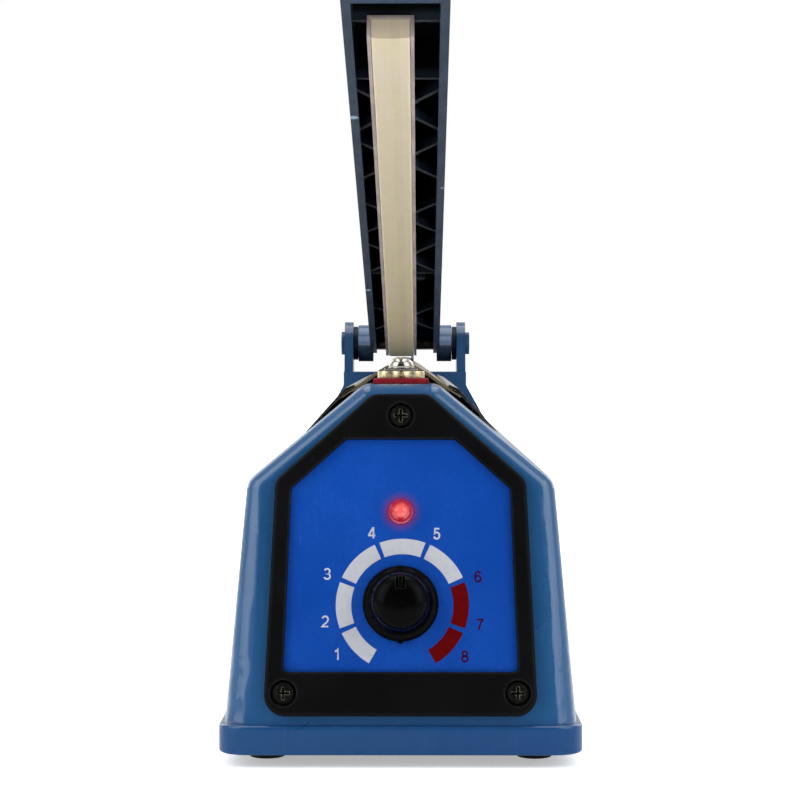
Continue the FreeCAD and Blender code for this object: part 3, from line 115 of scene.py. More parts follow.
class Material:
    """A material built up in layers over a first colour.

    Textures are in metres in the object's frame. A texture's scale is in cycles per metre,
    or one such number per axis. `span` holds the input values that are mapped onto `to`.
    """

    def __init__(self, name, color):
        self.mat = bpy.data.materials.new(name)
        self.mat.use_nodes = True
        self.tree = self.mat.node_tree
        self.tree.nodes.clear()
        self.out = self.add("ShaderNodeOutputMaterial")
        self.color = color
        self.rough = self.normal = None
        MATERIALS[name] = self.mat

    def add(self, kind, inputs=None, **props):
        return add_node(self.tree, kind, inputs, **props)

    @cached_property
    def coord(self):
        return self.add("ShaderNodeTexCoord").outputs["Object"]

    @cached_property
    def facing(self):
        """the plain surface normal, in world axes"""
        return self.add("ShaderNodeNewGeometry").outputs["Normal"]

    # values
    def split(self, vector=None):
        return self.add("ShaderNodeSeparateXYZ", {0: vector or self.coord}).outputs

    def stretch(self, scale):
        return self.add("ShaderNodeMapping", {0: self.coord, "Scale": scale}).outputs[0]

    def arm_frame(self):
        """texture coordinates in the arm's own frame"""
        turn = tuple(ARM_TURN.to_euler("XYZ"))
        inputs = {0: self.coord, "Location": tuple(ARM_AT), "Rotation": turn}
        return self.add("ShaderNodeMapping", inputs, vector_type="TEXTURE").outputs[0]

    def math(self, operation, first, *others, clamp=False):
        """Folds the operation over its values, left to right; clamp acts on the last step."""
        for other in others or (0,):
            node = self.add("ShaderNodeMath", {0: first, 1: other}, operation=operation)
            first = node.outputs[0]
        node.use_clamp = clamp
        return first

    def times(self, *factors, clamp=False):
        return self.math("MULTIPLY", *factors, clamp=clamp)

    def ramp(self, value, span, to=(0, 1)):
        inputs = {0: value, 1: span[0], 2: span[1], 3: to[0], 4: to[1]}
        return self.add("ShaderNodeMapRange", inputs, interpolation_type="SMOOTHSTEP").outputs[0]

    def mix(self, mask, below, above):
        inputs = {0: mask, 6: below, 7: above}
        return self.add("ShaderNodeMix", inputs, data_type="RGBA", blend_type="MIX").outputs[2]

    def near(self, point, vector=None):
        """distance in metres from a point"""
        inputs = {0: vector or self.coord, 1: point}
        return self.add("ShaderNodeVectorMath", inputs, operation="DISTANCE").outputs["Value"]

    # textures
    def noise(self, scale, detail=3, rough=0.55, warp=0):
        vector = self.coord
        if isinstance(scale, tuple):
            vector, scale = self.stretch(scale), 1
        return self.add("ShaderNodeTexNoise", {
            "Vector": vector, "Scale": scale, "Detail": detail, "Roughness": rough,
            "Distortion": warp}).outputs[0]

    def patches(self, scale, span=(0.3, 0.7), to=(0, 1), detail=4, **texture):
        return self.ramp(self.noise(scale, detail, **texture), span, to)

    def cells(self, scale, vector=None, jitter=1):
        return self.add("ShaderNodeTexVoronoi", {
            "Vector": vector or self.coord, "Scale": scale,
            "Randomness": jitter}).outputs["Distance"]

    def specks(self, scale, span, gather, gather_span, detail=3):
        """small dots, gathered into patches of scale `gather`"""
        return self.times(self.ramp(self.cells(scale), span),
                          self.patches(gather, gather_span, detail=detail))

    def waves(self, value, pitch):
        """a sine along one axis, pitch in mm"""
        return self.math("SINE", self.times(value, 2 * math.pi / (pitch * MM)))

    def bevelled(self, radius, samples):
        return self.add("ShaderNodeBevel", {"Radius": radius}, samples=samples).outputs[0]

    def edge(self, radius, span=(0.995, 0.86)):
        """1 along sharp edges, 0 on open faces"""
        inputs = {0: self.bevelled(radius, samples=2), 1: self.facing}
        dot = self.add("ShaderNodeVectorMath", inputs, operation="DOT_PRODUCT")
        return self.ramp(dot.outputs["Value"], span)

    # layers
    def over(self, color, mask, amount=None):
        if amount is not None:
            mask = self.times(mask, amount)
        self.color = self.mix(mask, self.color, color)

    def roughen(self, mask, amount):
        self.rough = self.math("ADD", self.rough, self.times(mask, amount))

    def soften(self, radius):
        self.normal = self.bevelled(radius, samples=3)

    def emboss(self, height, depth):
        inputs = {"Height": height, "Distance": depth, "Strength": 1}
        if self.normal is not None:
            inputs["Normal"] = self.normal
        self.normal = self.add("ShaderNodeBump", inputs).outputs[0]

    def grain(self, scale, depth, **texture):
        self.emboss(self.noise(scale, **texture), depth)

    def finish(self, **inputs):
        inputs.update(color=self.color, rough=self.rough, normal=self.normal)
        shader = self.add("ShaderNodeBsdfPrincipled",
                          {SOCKETS[key]: value for key, value in inputs.items()})
        self.tree.links.new(shader.outputs[0], self.out.inputs[0])


def plain(name, color, color2, patch, rough, grain, metal=0, coat=0, coat_rough=0.1, spec=0.5,
          wear=None, wear_size=0.0005, wear_amount=0.6, wear_metal=None, dust=0, brushed=False,
          soft=0):
    """The common finish: patches of two tones, uneven gloss, grain, worn edges, settled dust.

    `patch` is the scale of the patches, `rough` the range of roughness, and each entry of
    `grain` is scale, detail, depth. `soft` is the radius of the softened edges.
    """
    mat = Material(name, rgb(*color))
    mat.over(rgb(*color2), mat.patches(patch, span=(0.35, 0.65)))
    mat.over(rgb(*color, gain=1.25),
             mat.patches(patch * 14, span=(0.3, 0.75), to=(0, 0.25), detail=2))
    mat.rough = mat.patches(patch * 2.3, to=rough, **GLOSS)
    if soft:
        mat.soften(soft)
    if brushed:
        lines = mat.noise((3200, 24, 3200), rough=0.6)
        mat.emboss(lines, depth=6e-6)
        mat.rough = mat.math("ADD", mat.rough, mat.ramp(lines, (0.3, 0.7), to=(-0.06, 0.06)))
    for scale, detail, depth in grain:
        mat.grain(scale, depth, detail=detail, rough=0.6)
    if wear:
        broken = mat.patches(520, span=(0.42, 0.6), rough=0.7)
        mask = mat.times(mat.edge(wear_size), broken, wear_amount, clamp=True)
        mat.over(rgb(*wear), mask)
        if wear_metal is not None:
            metal = mat.ramp(mask, (0, 1), to=(metal, wear_metal))
        mat.roughen(mask, amount=0.08)
    if dust:
        level = mat.ramp(mat.split(mat.facing)[2], (0.25, 0.95))
        settled = mat.patches(330, span=(0.45, 0.8), detail=5, rough=0.7)
        mask = mat.times(level, settled, dust, clamp=True)
        mat.over(rgb(176, 174, 168), mask)
        mat.roughen(mask, amount=0.3)
    mat.finish(metal=metal, coat=coat, coat_rough=coat_rough, spec=spec)


# ---------------------------------------------------------------- enamels
def body_paint():
    """Gloss enamel: orange peel, faint wiped streaks, tiny bright nicks on the edges."""
    top = (22, 70, 113)
    mat = Material("enamel_blue", rgb(24, 73, 118))
    z = mat.split()[2]
    # painted shade: the enamel turns slightly darker from the foot towards the top
    mat.over(rgb(*top), mat.ramp(z, (0.012, 0.075)))
    mat.over(rgb(14, 58, 108), mat.ramp(z, (0.0125, 0.0085)))  # bottom edge: painted shade, darker blue along the foot
    mat.over(rgb(38, 70, 100), mat.ramp(z, (0.086, 0.098)))  # top edge: painted shade, greyer and duller blue up through the hinge ears
    mat.over(rgb(*top, gain=0.86), mat.patches(26, span=(0.35, 0.68), to=(0, 0.55)))
    mat.over(rgb(*top, gain=1.2), mat.patches(240, span=(0.4, 0.7), to=(0, 0.12), detail=3))
    streaks = mat.patches((420, 420, 22), span=(0.58, 0.82), to=(0, 0.08), detail=3, rough=0.6)
    mat.over(rgb(92, 134, 178), streaks)
    flecks = mat.specks(150, span=(0.085, 0.055), gather=31, gather_span=(0.6, 0.7), detail=2)
    mat.over(rgb(96, 132, 172), flecks, amount=0.12)
    chips = mat.times(mat.edge(0.0007, span=(0.992, 0.8)),
                      mat.patches(760, span=(0.6, 0.66), rough=0.72))
    mat.over(rgb(150, 172, 196), chips, amount=0.16)
    dust = mat.times(mat.ramp(mat.split(mat.facing)[2], (0.3, 1)),
                     mat.patches(420, span=(0.5, 0.85), to=(0, 0.12), detail=5, rough=0.7))
    mat.over(rgb(120, 146, 176), dust)
    mat.rough = mat.patches(70, to=(0.26, 0.38), **GLOSS)
    mat.grain(300, depth=3.5e-6, detail=2)
    mat.grain(2400, depth=1.6e-6, detail=2)
    foot = mat.ramp(z, (0.0088, 0.0102))  # duller below this height
    mat.finish(coat=mat.ramp(foot, (0, 1), to=(0.12, 0.6)), coat_rough=0.12,
               spec=mat.ramp(foot, (0, 1), to=(0.1, 0.28)))


# paint chips on the arm's rims and flanks: x, y, z in the arm frame and radius, in mm
CHIPS = [
    (-12.6, -279.5, -3.3, 1.3), (-12.5, -93.4, -3.3, 1.0), (12.9, -214.0, -3.2, 0.5),
    (-13.6, -300.0, 6.0, 0.8), (13.6, -402.0, 2.0, 0.9), (9.0, -424.0, 12.0, 1.0),
    (-4.0, -429.0, 8.0, 0.8),
]


def arm_chips(mat, place):
    """ragged spots at the places of CHIPS"""
    masks = []
    for x, y, z, radius in CHIPS:
        distance = mat.math("ADD", mat.near((x * MM, y * MM, z * MM), place),
                            mat.times(mat.noise(900, detail=4), 0.0009))
        masks.append(mat.ramp(distance, (radius * MM + 0.00062, radius * MM + 0.00036)))
    return mat.math("MAXIMUM", *masks)


def arm_paint():
    """Enamel outside, dull and rubbed on the rims; painted shade darkens the rims and the ribbed
    channel, most of all deep inside it.
    """
    blue = (38, 76, 118)
    mat = Material("enamel_blue_arm", rgb(*blue))
    place = mat.arm_frame()
    x, y, z = mat.split(place)
    across = mat.math("ABSOLUTE", x)
    mat.over(rgb(*blue, gain=0.8), mat.patches(30, span=(0.35, 0.68), to=(0, 0.6)))
    mat.over(rgb(64, 104, 146), mat.patches(260, span=(0.4, 0.7), to=(0, 0.2), detail=3))
    # painted shade: the rims along the arm's underside are darkened to a dusky slate blue
    rim = mat.ramp(z, (-0.0021, -0.0028))
    rim_shade_tone = mat.mix(mat.patches((260, 24, 260), span=(0.35, 0.7), rough=0.6),
                    rgb(30, 43, 58), rgb(15, 28, 42))
    mat.over(rim_shade_tone, rim, amount=0.92)

    # the channel in the underside: painted shade on its ribs and side walls, darkest in its
    # depth
    under = mat.ramp(mat.split(mat.facing)[2], (0.55, 0.35))
    along = (0.004, -0.002)
    inside = mat.times(mat.ramp(across, (0.01125, 0.0110)), mat.ramp(y, along), under)
    deep = mat.times(inside, mat.ramp(z, (0.0002, 0.0030)))
    ribs = mat.times(inside, mat.ramp(z, (0.0012, -0.0004)))
    mat.over(rgb(26, 50, 70), ribs, amount=0.75)
    wall_shade = mat.times(mat.ramp(across, (0.0114, 0.0111)), mat.ramp(y, along),
                     mat.ramp(z, (-0.0030, -0.0018)), under)
    mat.over(rgb(7, 11, 18), wall_shade, amount=0.85)
    mat.over(rgb(2, 3, 6), deep)

    chips = arm_chips(mat, place)
    mat.over(rgb(150, 170, 192), chips, amount=0.85)
    rubbed = mat.times(mat.edge(0.0006, span=(0.99, 0.8)),
                       mat.patches(600, span=(0.6, 0.68), rough=0.7))
    mat.over(rgb(120, 142, 165), rubbed, amount=0.4)
    mat.rough = mat.patches(80, to=(0.28, 0.42), **GLOSS)
    dull = mat.math("MAXIMUM", rim, inside, chips)
    mat.roughen(dull, amount=0.28)
    mat.grain(300, depth=2.2e-5, detail=2)
    mat.grain(1500, depth=4e-6)
    shadowed = mat.math("MAXIMUM", deep, mat.times(dull, 0.5))
    mat.finish(coat=mat.math("SUBTRACT", 0.6, mat.times(dull, 0.55), clamp=True),
               coat_rough=0.16,
               spec=mat.math("SUBTRACT", 0.5, mat.times(shadowed, 0.42), clamp=True))


# ---------------------------------------------------------------- front panel materials
def bezel_plastic():
    """Black moulding with a fine spark-eroded grain, lint and pale rub marks."""
    mat = Material("moulding_black", rgb(3, 3, 4))
    mat.over(rgb(7, 7, 8), mat.patches(55, span=(0.35, 0.7)))
    lint = mat.specks(620, span=(0.16, 0.09), gather=90, gather_span=(0.52, 0.68))
    mat.over(rgb(70, 68, 64), lint, amount=0.14)
    edge = mat.edge(0.0009, span=(0.99, 0.82))
    rub = mat.times(edge, mat.patches(260, span=(0.35, 0.7), rough=0.7))
    mat.over(rgb(60, 60, 62), rub, amount=0.12)
    mat.rough = mat.patches(120, to=(0.5, 0.66), **GLOSS)
    mat.emboss(mat.cells(1900), depth=1.6e-5)
    mat.grain(4200, depth=4e-6, detail=2)
    mat.finish(spec=mat.ramp(edge, (0, 1), to=(0.05, 0.26)))


def label_sheet():
    """Royal blue ink under a satin face, fine scratches, red light spilling round the lamp."""
    mat = Material("label_print_blue", rgb(4, 58, 142))
    mat.over(rgb(10, 66, 154), mat.patches(34, span=(0.3, 0.72)))
    mat.over(rgb(2, 50, 132), mat.patches(900, span=(0.35, 0.7), to=(0, 0.3), detail=2))
    scratches = mat.times(
        mat.patches((2600, 160, 160), span=(0.66, 0.72), detail=2, rough=0.5, warp=1.5),
        mat.patches(45, span=(0.52, 0.66), detail=3))
    nicks = mat.specks(430, span=(0.1, 0.05), gather=60, gather_span=(0.55, 0.68))
    mat.over(rgb(90, 130, 200), mat.math("MAXIMUM", scratches, nicks), amount=0.14)
    spill = mat.ramp(mat.near(tuple(LAMP)), (0.0058, 0.0024))
    halo = mat.math("POWER", spill, 1.7)  # falls off away from the lamp
    mat.over(rgb(116, 34, 84), halo, amount=0.62)
    mat.rough = mat.patches(140, to=(0.38, 0.5), **GLOSS)
    mat.grain(1700, depth=5e-6, detail=2)
    mat.finish(spec=0.1, glow=rgb(176, 30, 62),
               glow_power=mat.times(mat.math("POWER", halo, 1.4), 0.11))


def print_ink(name, color, thin):
    """Screen-printed ink, slightly uneven, with a second colour in its thin spots."""
    mat = Material(name, rgb(*color))
    mat.over(rgb(*thin), mat.patches(700, span=(0.4, 0.75), to=(0, 0.5)))
    mat.over(rgb(*thin, gain=0.7),
             mat.patches(2600, span=(0.62, 0.78), to=(0, 0.4), detail=2))
    mat.rough = mat.patches(300, to=(0.42, 0.58), detail=3)
    mat.grain(2200, depth=6e-6)
    mat.finish(spec=0.05)


def knob_plastic():
    """Polished phenolic: deep gloss, swirl scratches, a little dust."""
    mat = Material("phenolic_black", rgb(2, 2, 2))
    mat.over(rgb(4, 4, 4), mat.patches(160, span=(0.4, 0.75)))
    dust = mat.specks(1300, span=(0.17, 0.08), gather=180, gather_span=(0.5, 0.66))
    mat.over(rgb(80, 80, 82), dust, amount=0.12)
    # worn edges, partly a painted highlight: lighter grey along the knob's sharp edges, such as
    # the window outline and the pointer
    rub = mat.times(mat.edge(0.0002, span=(0.985, 0.75)), mat.patches(700, span=(0.2, 0.5)))
    mat.over(rgb(96, 96, 98), rub, amount=0.42)
    mat.rough = mat.patches(260, span=(0.25, 0.75), to=(0.19, 0.34), detail=5, rough=0.7)
    mat.soften(0.00012)
    mat.grain(900, depth=7e-6)
    mat.grain((5200, 700, 700), depth=2e-6, detail=2, rough=0.5, warp=2)
    mat.finish(spec=mat.math("ADD", 0.035, mat.times(rub, 0.2)))


def lamp_lens():
    """Red lens lit from behind: pale hot centre, deep red rim."""
    mat = Material("lens_red", rgb(150, 14, 24))
    grazing = mat.add("ShaderNodeLayerWeight", {"Blend": 0.45}).outputs["Facing"]
    hot = mat.ramp(mat.near(tuple(LAMP_HOT_SPOT)), (0.0024, 0.0004))
    mat.over(rgb(206, 74, 70), hot)
    glow = mat.mix(hot, rgb(200, 30, 38), rgb(235, 112, 106))
    glow = mat.mix(mat.ramp(grazing, (0.35, 0.95)), glow, rgb(150, 6, 22))
    mat.rough = mat.patches(800, to=(0.12, 0.24), detail=3)
    mat.emboss(mat.cells(1500), depth=6e-5)  # facets
    mat.finish(glow=glow, glow_power=mat.ramp(grazing, (0.1, 0.95), to=(0.36, 0.06)),
               coat=0.6, coat_rough=0.08, sss=0.25, sss_scale=0.001, sss_radius=(1, 0.2, 0.2))


# ---------------------------------------------------------------- sealing bed and arm strip
def glass_cloth(name, color, dark, pitch):
    """Coated glass cloth: plain weave under a slick film, scorched along the sealing line."""
    mat = Material(name, rgb(*dark))
    x, y, z = mat.split()
    weave = mat.times(mat.waves(mat.times(x, 1.2), pitch), mat.waves(y, pitch), 0.5)
    height = mat.math("ADD", weave, 0.5)
    mat.over(rgb(*color), mat.ramp(height, (0.1, 0.9)))
    mat.over(rgb(*color, gain=0.66), mat.patches(38, span=(0.35, 0.7), to=(0, 0.5)))
    line = mat.times(mat.ramp(mat.math("ABSOLUTE", x), (0.0019, 0.0007)),
                     mat.ramp(z, (0.092, 0.0938)))
    scorch = mat.times(line, mat.patches((500, 60, 500), to=(0.25, 0.7), detail=3, rough=0.6))
    mat.over(rgb(52, 38, 24), scorch)
    mat.rough = mat.patches(110, to=(0.34, 0.5))
    mat.emboss(height, depth=4.5e-5)
    mat.grain(1600, depth=1.2e-5)
    mat.finish(spec=0.45, sheen=0.25, sheen_rough=0.4)


def silicone():
    """Cast silicone: creamy, with rose and straw mottling and a pressed line along it."""
    mat = Material("silicone_cream", rgb(196, 184, 158))
    x, y, _ = mat.split(mat.arm_frame())
    mat.over(rgb(200, 188, 152), mat.ramp(y, (-0.352, -0.02)))
    mat.over(rgb(206, 184, 168),
             mat.patches((160, 34, 160), span=(0.42, 0.72), to=(0, 0.55), rough=0.6))
    mat.over(rgb(196, 184, 142),
             mat.patches((120, 26, 90), span=(0.5, 0.75), to=(0, 0.5), rough=0.6))
    mat.over(rgb(170, 158, 132), mat.patches(1500, span=(0.4, 0.75), to=(0, 0.16), detail=2))
    off_centre = mat.math("ABSOLUTE", mat.math("ADD", x, -STRIP_X * MM))
    mat.over(rgb(206, 196, 160), mat.ramp(off_centre, (0.0043, 0.0049)), amount=0.45)
    off_line = mat.math("ABSOLUTE", mat.math("ADD", x, 0.0002))
    pressed = mat.times(
        mat.ramp(off_line, (0.0016, 0.0009)),
        mat.patches((60, 40, 60), span=(0.35, 0.7), to=(0.04, 0.24), detail=3, rough=0.6))
    mat.over(rgb(168, 152, 118), pressed)
    mat.rough = mat.patches(150, to=(0.5, 0.64))
    mat.grain((1300, 160, 1300), depth=2.4e-5, rough=0.6)
    mat.grain(2600, depth=4e-6, detail=2)
    mat.finish(spec=0.35, sss=0.18, sss_scale=0.0015, sss_radius=(1, 0.75, 0.5))


def fibre():
    """Vulcanised fibre: crimson, felted, fuzzy."""
    mat = Material("fibre_red", rgb(118, 10, 22))
    mat.over(rgb(158, 24, 38), mat.patches(420, detail=5, rough=0.7))
    mat.over(rgb(84, 6, 16),
             mat.patches((500, 2600, 2600), span=(0.5, 0.75), to=(0, 0.55), rough=0.7))
    mat.rough = 0.82
    mat.grain((900, 2800, 2800), depth=1.1e-4, detail=4, rough=0.7)
    mat.grain(3000, depth=3e-5)
    mat.finish(spec=0.12, sheen=0.08, sheen_rough=0.6)


def cast_brass():
    """Nickel-flashed, tumbled brass, dull gold in patches."""
    mat = Material("brass_cast", rgb(206, 194, 158))
    mat.over(rgb(168, 150, 108), mat.patches(420, span=(0.35, 0.68)))
    mat.over(rgb(232, 226, 206), mat.patches(1500, span=(0.52, 0.72), to=(0, 0.6), rough=0.7))
    mat.over(rgb(240, 235, 218), mat.edge(0.0003), amount=0.7)
    mat.rough = mat.patches(700, to=(0.2, 0.44), detail=5, rough=0.7)
    mat.soften(0.0003)
    mat.grain(900, depth=5e-5, detail=4, rough=0.6)
    mat.finish(metal=0.9)


# ---------------------------------------------------------------- inner parts
def laminations():
    """Stacked core sheets with rusty patches."""
    mat = Material("core_laminations", rgb(52, 50, 48))
    sheets = mat.waves(mat.split()[1], pitch=0.5)
    mat.over(rgb(96, 94, 92), mat.ramp(sheets, (-0.6, 0.9)))
    mat.over(rgb(92, 60, 34), mat.patches(60, span=(0.5, 0.7), to=(0, 0.6)))
    mat.rough = 0.42
    mat.emboss(sheets, depth=5e-5)
    mat.finish(metal=0.7, coat=0.4, coat_rough=0.2)


def winding_tape():
    """Yellow tape with a darker overlap at each turn."""
    mat = Material("coil_tape", rgb(214, 168, 40))
    turns = mat.waves(mat.split()[2], pitch=5.5)
    mat.over(rgb(170, 120, 22), mat.ramp(turns, (0.85, 0.98)))
    mat.rough = 0.3
    mat.emboss(mat.ramp(turns, (0.8, 1)), depth=8e-5)
    mat.grain(700, depth=2e-5)
    mat.finish(coat=0.5, coat_rough=0.12)


def circuit_board():
    """Green board with raised tracks and bright pads."""
    mat = Material("board_green", rgb(16, 78, 42))
    tracks = mat.ramp(mat.cells(240, mat.stretch((1, 0.35, 1)), jitter=0.6), (0.384, 0.336))
    mat.over(rgb(40, 122, 66), tracks, amount=0.6)
    pads = mat.ramp(mat.cells(330, jitter=0.15), (0.22, 0.18))
    mat.over(rgb(196, 196, 190), pads)
    mat.rough = 0.32
    mat.emboss(mat.math("ADD", tracks, pads), depth=3e-5)
    mat.finish(coat=0.5, coat_rough=0.15, metal=mat.times(pads, 0.8))


def heat_ribbon():
    """Drawn metal ribbon, browned in streaks along its length."""
    mat = Material("element_ribbon", rgb(150, 142, 132))
    mat.over(rgb(112, 92, 74), mat.patches((300, 30, 300), span=(0.35, 0.7), rough=0.6))
    mat.rough = 0.3
    mat.grain((4000, 90, 4000), depth=6e-6, rough=0.6)
    mat.finish(metal=1, aniso=0.4)


def painted_bolt():
    """Hinge bolt: ends painted blue, the shank between them bare and stained brown."""
    mat = Material("hinge_bolt_part_painted", rgb(70, 62, 54))
    mat.over(rgb(40, 34, 30), mat.patches(240, span=(0.35, 0.7)))
    reach = mat.math("ADD", mat.math("ABSOLUTE", mat.split()[0]),
                     mat.times(mat.noise(500), 0.0008))
    ends = mat.ramp(reach, (0.0238, 0.0243))
    paint = mat.mix(mat.patches(60, span=(0.35, 0.7)), rgb(36, 72, 108), rgb(26, 58, 92))
    mat.over(paint, ends)
    chips = mat.times(mat.edge(0.0004), mat.patches(900, span=(0.5, 0.64), rough=0.7))
    mat.over(rgb(140, 156, 172), chips, amount=0.4)
    mat.rough = mat.patches(200, to=(0.34, 0.5))
    mat.soften(0.0003)
    mat.grain(900, depth=1.6e-5, detail=4)
    mat.finish(metal=mat.times(mat.math("SUBTRACT", 1, ends), 0.7), spec=0.35)


def clamp_strip():
    """Drawn aluminium, pale along its long faces; painted shade blackens the sawn ends and the
    front of the inner lip.
    """
    mat = Material("clamp_aluminium", rgb(178, 178, 176))
    x, y, _ = mat.split()
    mat.over(rgb(160, 160, 159), mat.patches(60, span=(0.35, 0.65)))
    # painted shade: the inner lip darkened near the front end
    front_lip_shade = mat.times(mat.ramp(mat.math("ABSOLUTE", x), (0.0152, 0.0147)),
                    mat.ramp(y, (-0.138, -0.144)))
    mat.over(rgb(36, 33, 30), front_lip_shade, amount=0.9)
    # painted shade: faces turned along the strip, the sawn ends, are blackened
    end = mat.ramp(mat.math("ABSOLUTE", mat.split(mat.facing)[1]), (0.45, 0.75))
    mat.over(rgb(16, 14, 14), end, amount=0.97)
    mat.over(rgb(214, 208, 200), mat.edge(0.0004), amount=0.4)
    mat.rough = mat.patches(90, to=(0.36, 0.42))
    mat.roughen(end, amount=0.3)
    mat.soften(0.00015)
    mat.grain((3200, 24, 3200), depth=6e-6, rough=0.6)
    mat.grain(1500, depth=4e-6)
    mat.finish(metal=mat.math("SUBTRACT", 1, mat.times(end, 0.8)),
               spec=mat.ramp(end, (0, 1), to=(0.5, 0.1)))


# ---------------------------------------------------------------- all materials, in order
def build_special_materials():
    body_paint()
    arm_paint()
    bezel_plastic()
    label_sheet()
    print_ink("ink_white", color=(176, 176, 182), thin=(158, 161, 178))
    print_ink("ink_red", color=(92, 0, 3), thin=(72, 0, 2))
    print_ink("ink_maroon", color=(58, 0, 22), thin=(40, 0, 26))
    knob_plastic()
    lamp_lens()
    glass_cloth("cloth_brown", color=(128, 110, 72), dark=(70, 58, 38), pitch=0.75)
    glass_cloth("tape_white", color=(205, 196, 168), dark=(150, 140, 112), pitch=0.5)
    silicone()
    fibre()
    cast_brass()
    laminations()
    winding_tape()
    circuit_board()
    heat_ribbon()


def build_metals():
    plain("plated_bright", (186, 183, 174), (150, 146, 136), patch=300, rough=(0.12, 0.22),
          metal=1, grain=[(900, 3, 1.2e-5), (4000, 2, 2e-6)], soft=0.00012)
    plain("zinc_plate", (176, 180, 186), (148, 150, 156), patch=90, rough=(0.28, 0.44),
          metal=1, grain=[(420, 4, 2e-5), (2400, 3, 5e-6)], soft=0.0002,
          wear=(226, 226, 224), wear_amount=0.4)
    plain("spring_steel", (150, 150, 152), (112, 112, 116), patch=120, rough=(0.24, 0.36),
          metal=1, grain=[(1600, 3, 6e-6)])
    plain("hinge_paint", (36, 72, 108), (26, 58, 92), patch=60, rough=(0.31, 0.41), coat=0.2,
          coat_rough=0.2, spec=0.35, grain=[(700, 3, 1.4e-5)], soft=0.0002,
          wear=(140, 156, 172), wear_amount=0.3)
    plain("washer_dark", (20, 36, 54), (12, 24, 40), patch=60, rough=(0.41, 0.51), spec=0.2,
          grain=[(900, 3, 1.4e-5)], soft=0.0002)
    painted_bolt()
    clamp_strip()
    plain("mill_aluminium", (196, 196, 194), (168, 168, 166), patch=60, rough=(0.27, 0.41),
          metal=1, grain=[(1500, 3, 4e-6)], soft=0.00015, brushed=True,
          wear=(236, 236, 234), wear_amount=0.5)
    plain("holder_aluminium", (196, 182, 178), (160, 146, 146), patch=60, rough=(0.4, 0.52),
          metal=0.55, grain=[(1500, 3, 4e-6)], brushed=True)
    plain("screw_black", (5, 5, 4), (9, 8, 7), patch=300, rough=(0.33, 0.47), spec=0.05,
          grain=[(1800, 3, 6e-6)], soft=0.0001, wear=(172, 166, 138), wear_size=0.00026,
          wear_amount=0.85, wear_metal=0.5)


def build_rubbers_and_mouldings():
    plain("rubber_black", (10, 10, 10), (17, 17, 17), patch=200, rough=(0.63, 0.77),
          spec=0.25, grain=[(1900, 4, 2e-5)], dust=0.25)
    plain("cord_sheath", (14, 14, 15), (22, 22, 22), patch=90, rough=(0.37, 0.51), spec=0.4,
          grain=[(900, 3, 1.6e-5), (5000, 2, 2e-6)], dust=0.35)
    plain("moulded_black", (14, 14, 15), (20, 20, 21), patch=90, rough=(0.43, 0.57), spec=0.4,
          grain=[(2200, 2, 1e-5)], wear=(60, 60, 62), wear_amount=0.3, soft=0.0003)
    plain("brass_turned", (196, 164, 92), (160, 128, 66), patch=90, rough=(0.2, 0.32),
          metal=1, grain=[(1400, 3, 6e-6)], soft=0.0002)
    plain("moulded_red", (168, 22, 20), (130, 12, 12), patch=90, rough=(0.35, 0.45),
          grain=[(1400, 2, 8e-6)])
    plain("relay_blue", (28, 60, 142), (20, 48, 120), patch=90, rough=(0.25, 0.35), coat=0.3,
          grain=[(1400, 2, 8e-6)], soft=0.0003)
    plain("sleeve_navy", (22, 26, 66), (16, 18, 50), patch=90, rough=(0.23, 0.33), coat=0.5,
          grain=[(700, 2, 8e-6)])
    plain("block_green", (34, 112, 58), (26, 92, 46), patch=90, rough=(0.4, 0.5),
          grain=[(1400, 2, 1e-5)], soft=0.0003)
    plain("wire_red", (158, 18, 16), (130, 10, 10), patch=120, rough=(0.31, 0.41),
          grain=[(1100, 2, 1e-5)])
    plain("wire_white", (206, 206, 200), (184, 184, 176), patch=120, rough=(0.31, 0.41),
          grain=[(1100, 2, 1e-5)])
    plain("plate_galvanised", (150, 154, 160), (120, 124, 130), patch=32, rough=(0.3, 0.5),
          metal=0.9, grain=[(240, 5, 2e-5), (2400, 3, 4e-6)], soft=0.0003,
          wear=(210, 210, 208), wear_amount=0.4)


build_special_materials()
build_metals()
build_rubbers_and_mouldings()

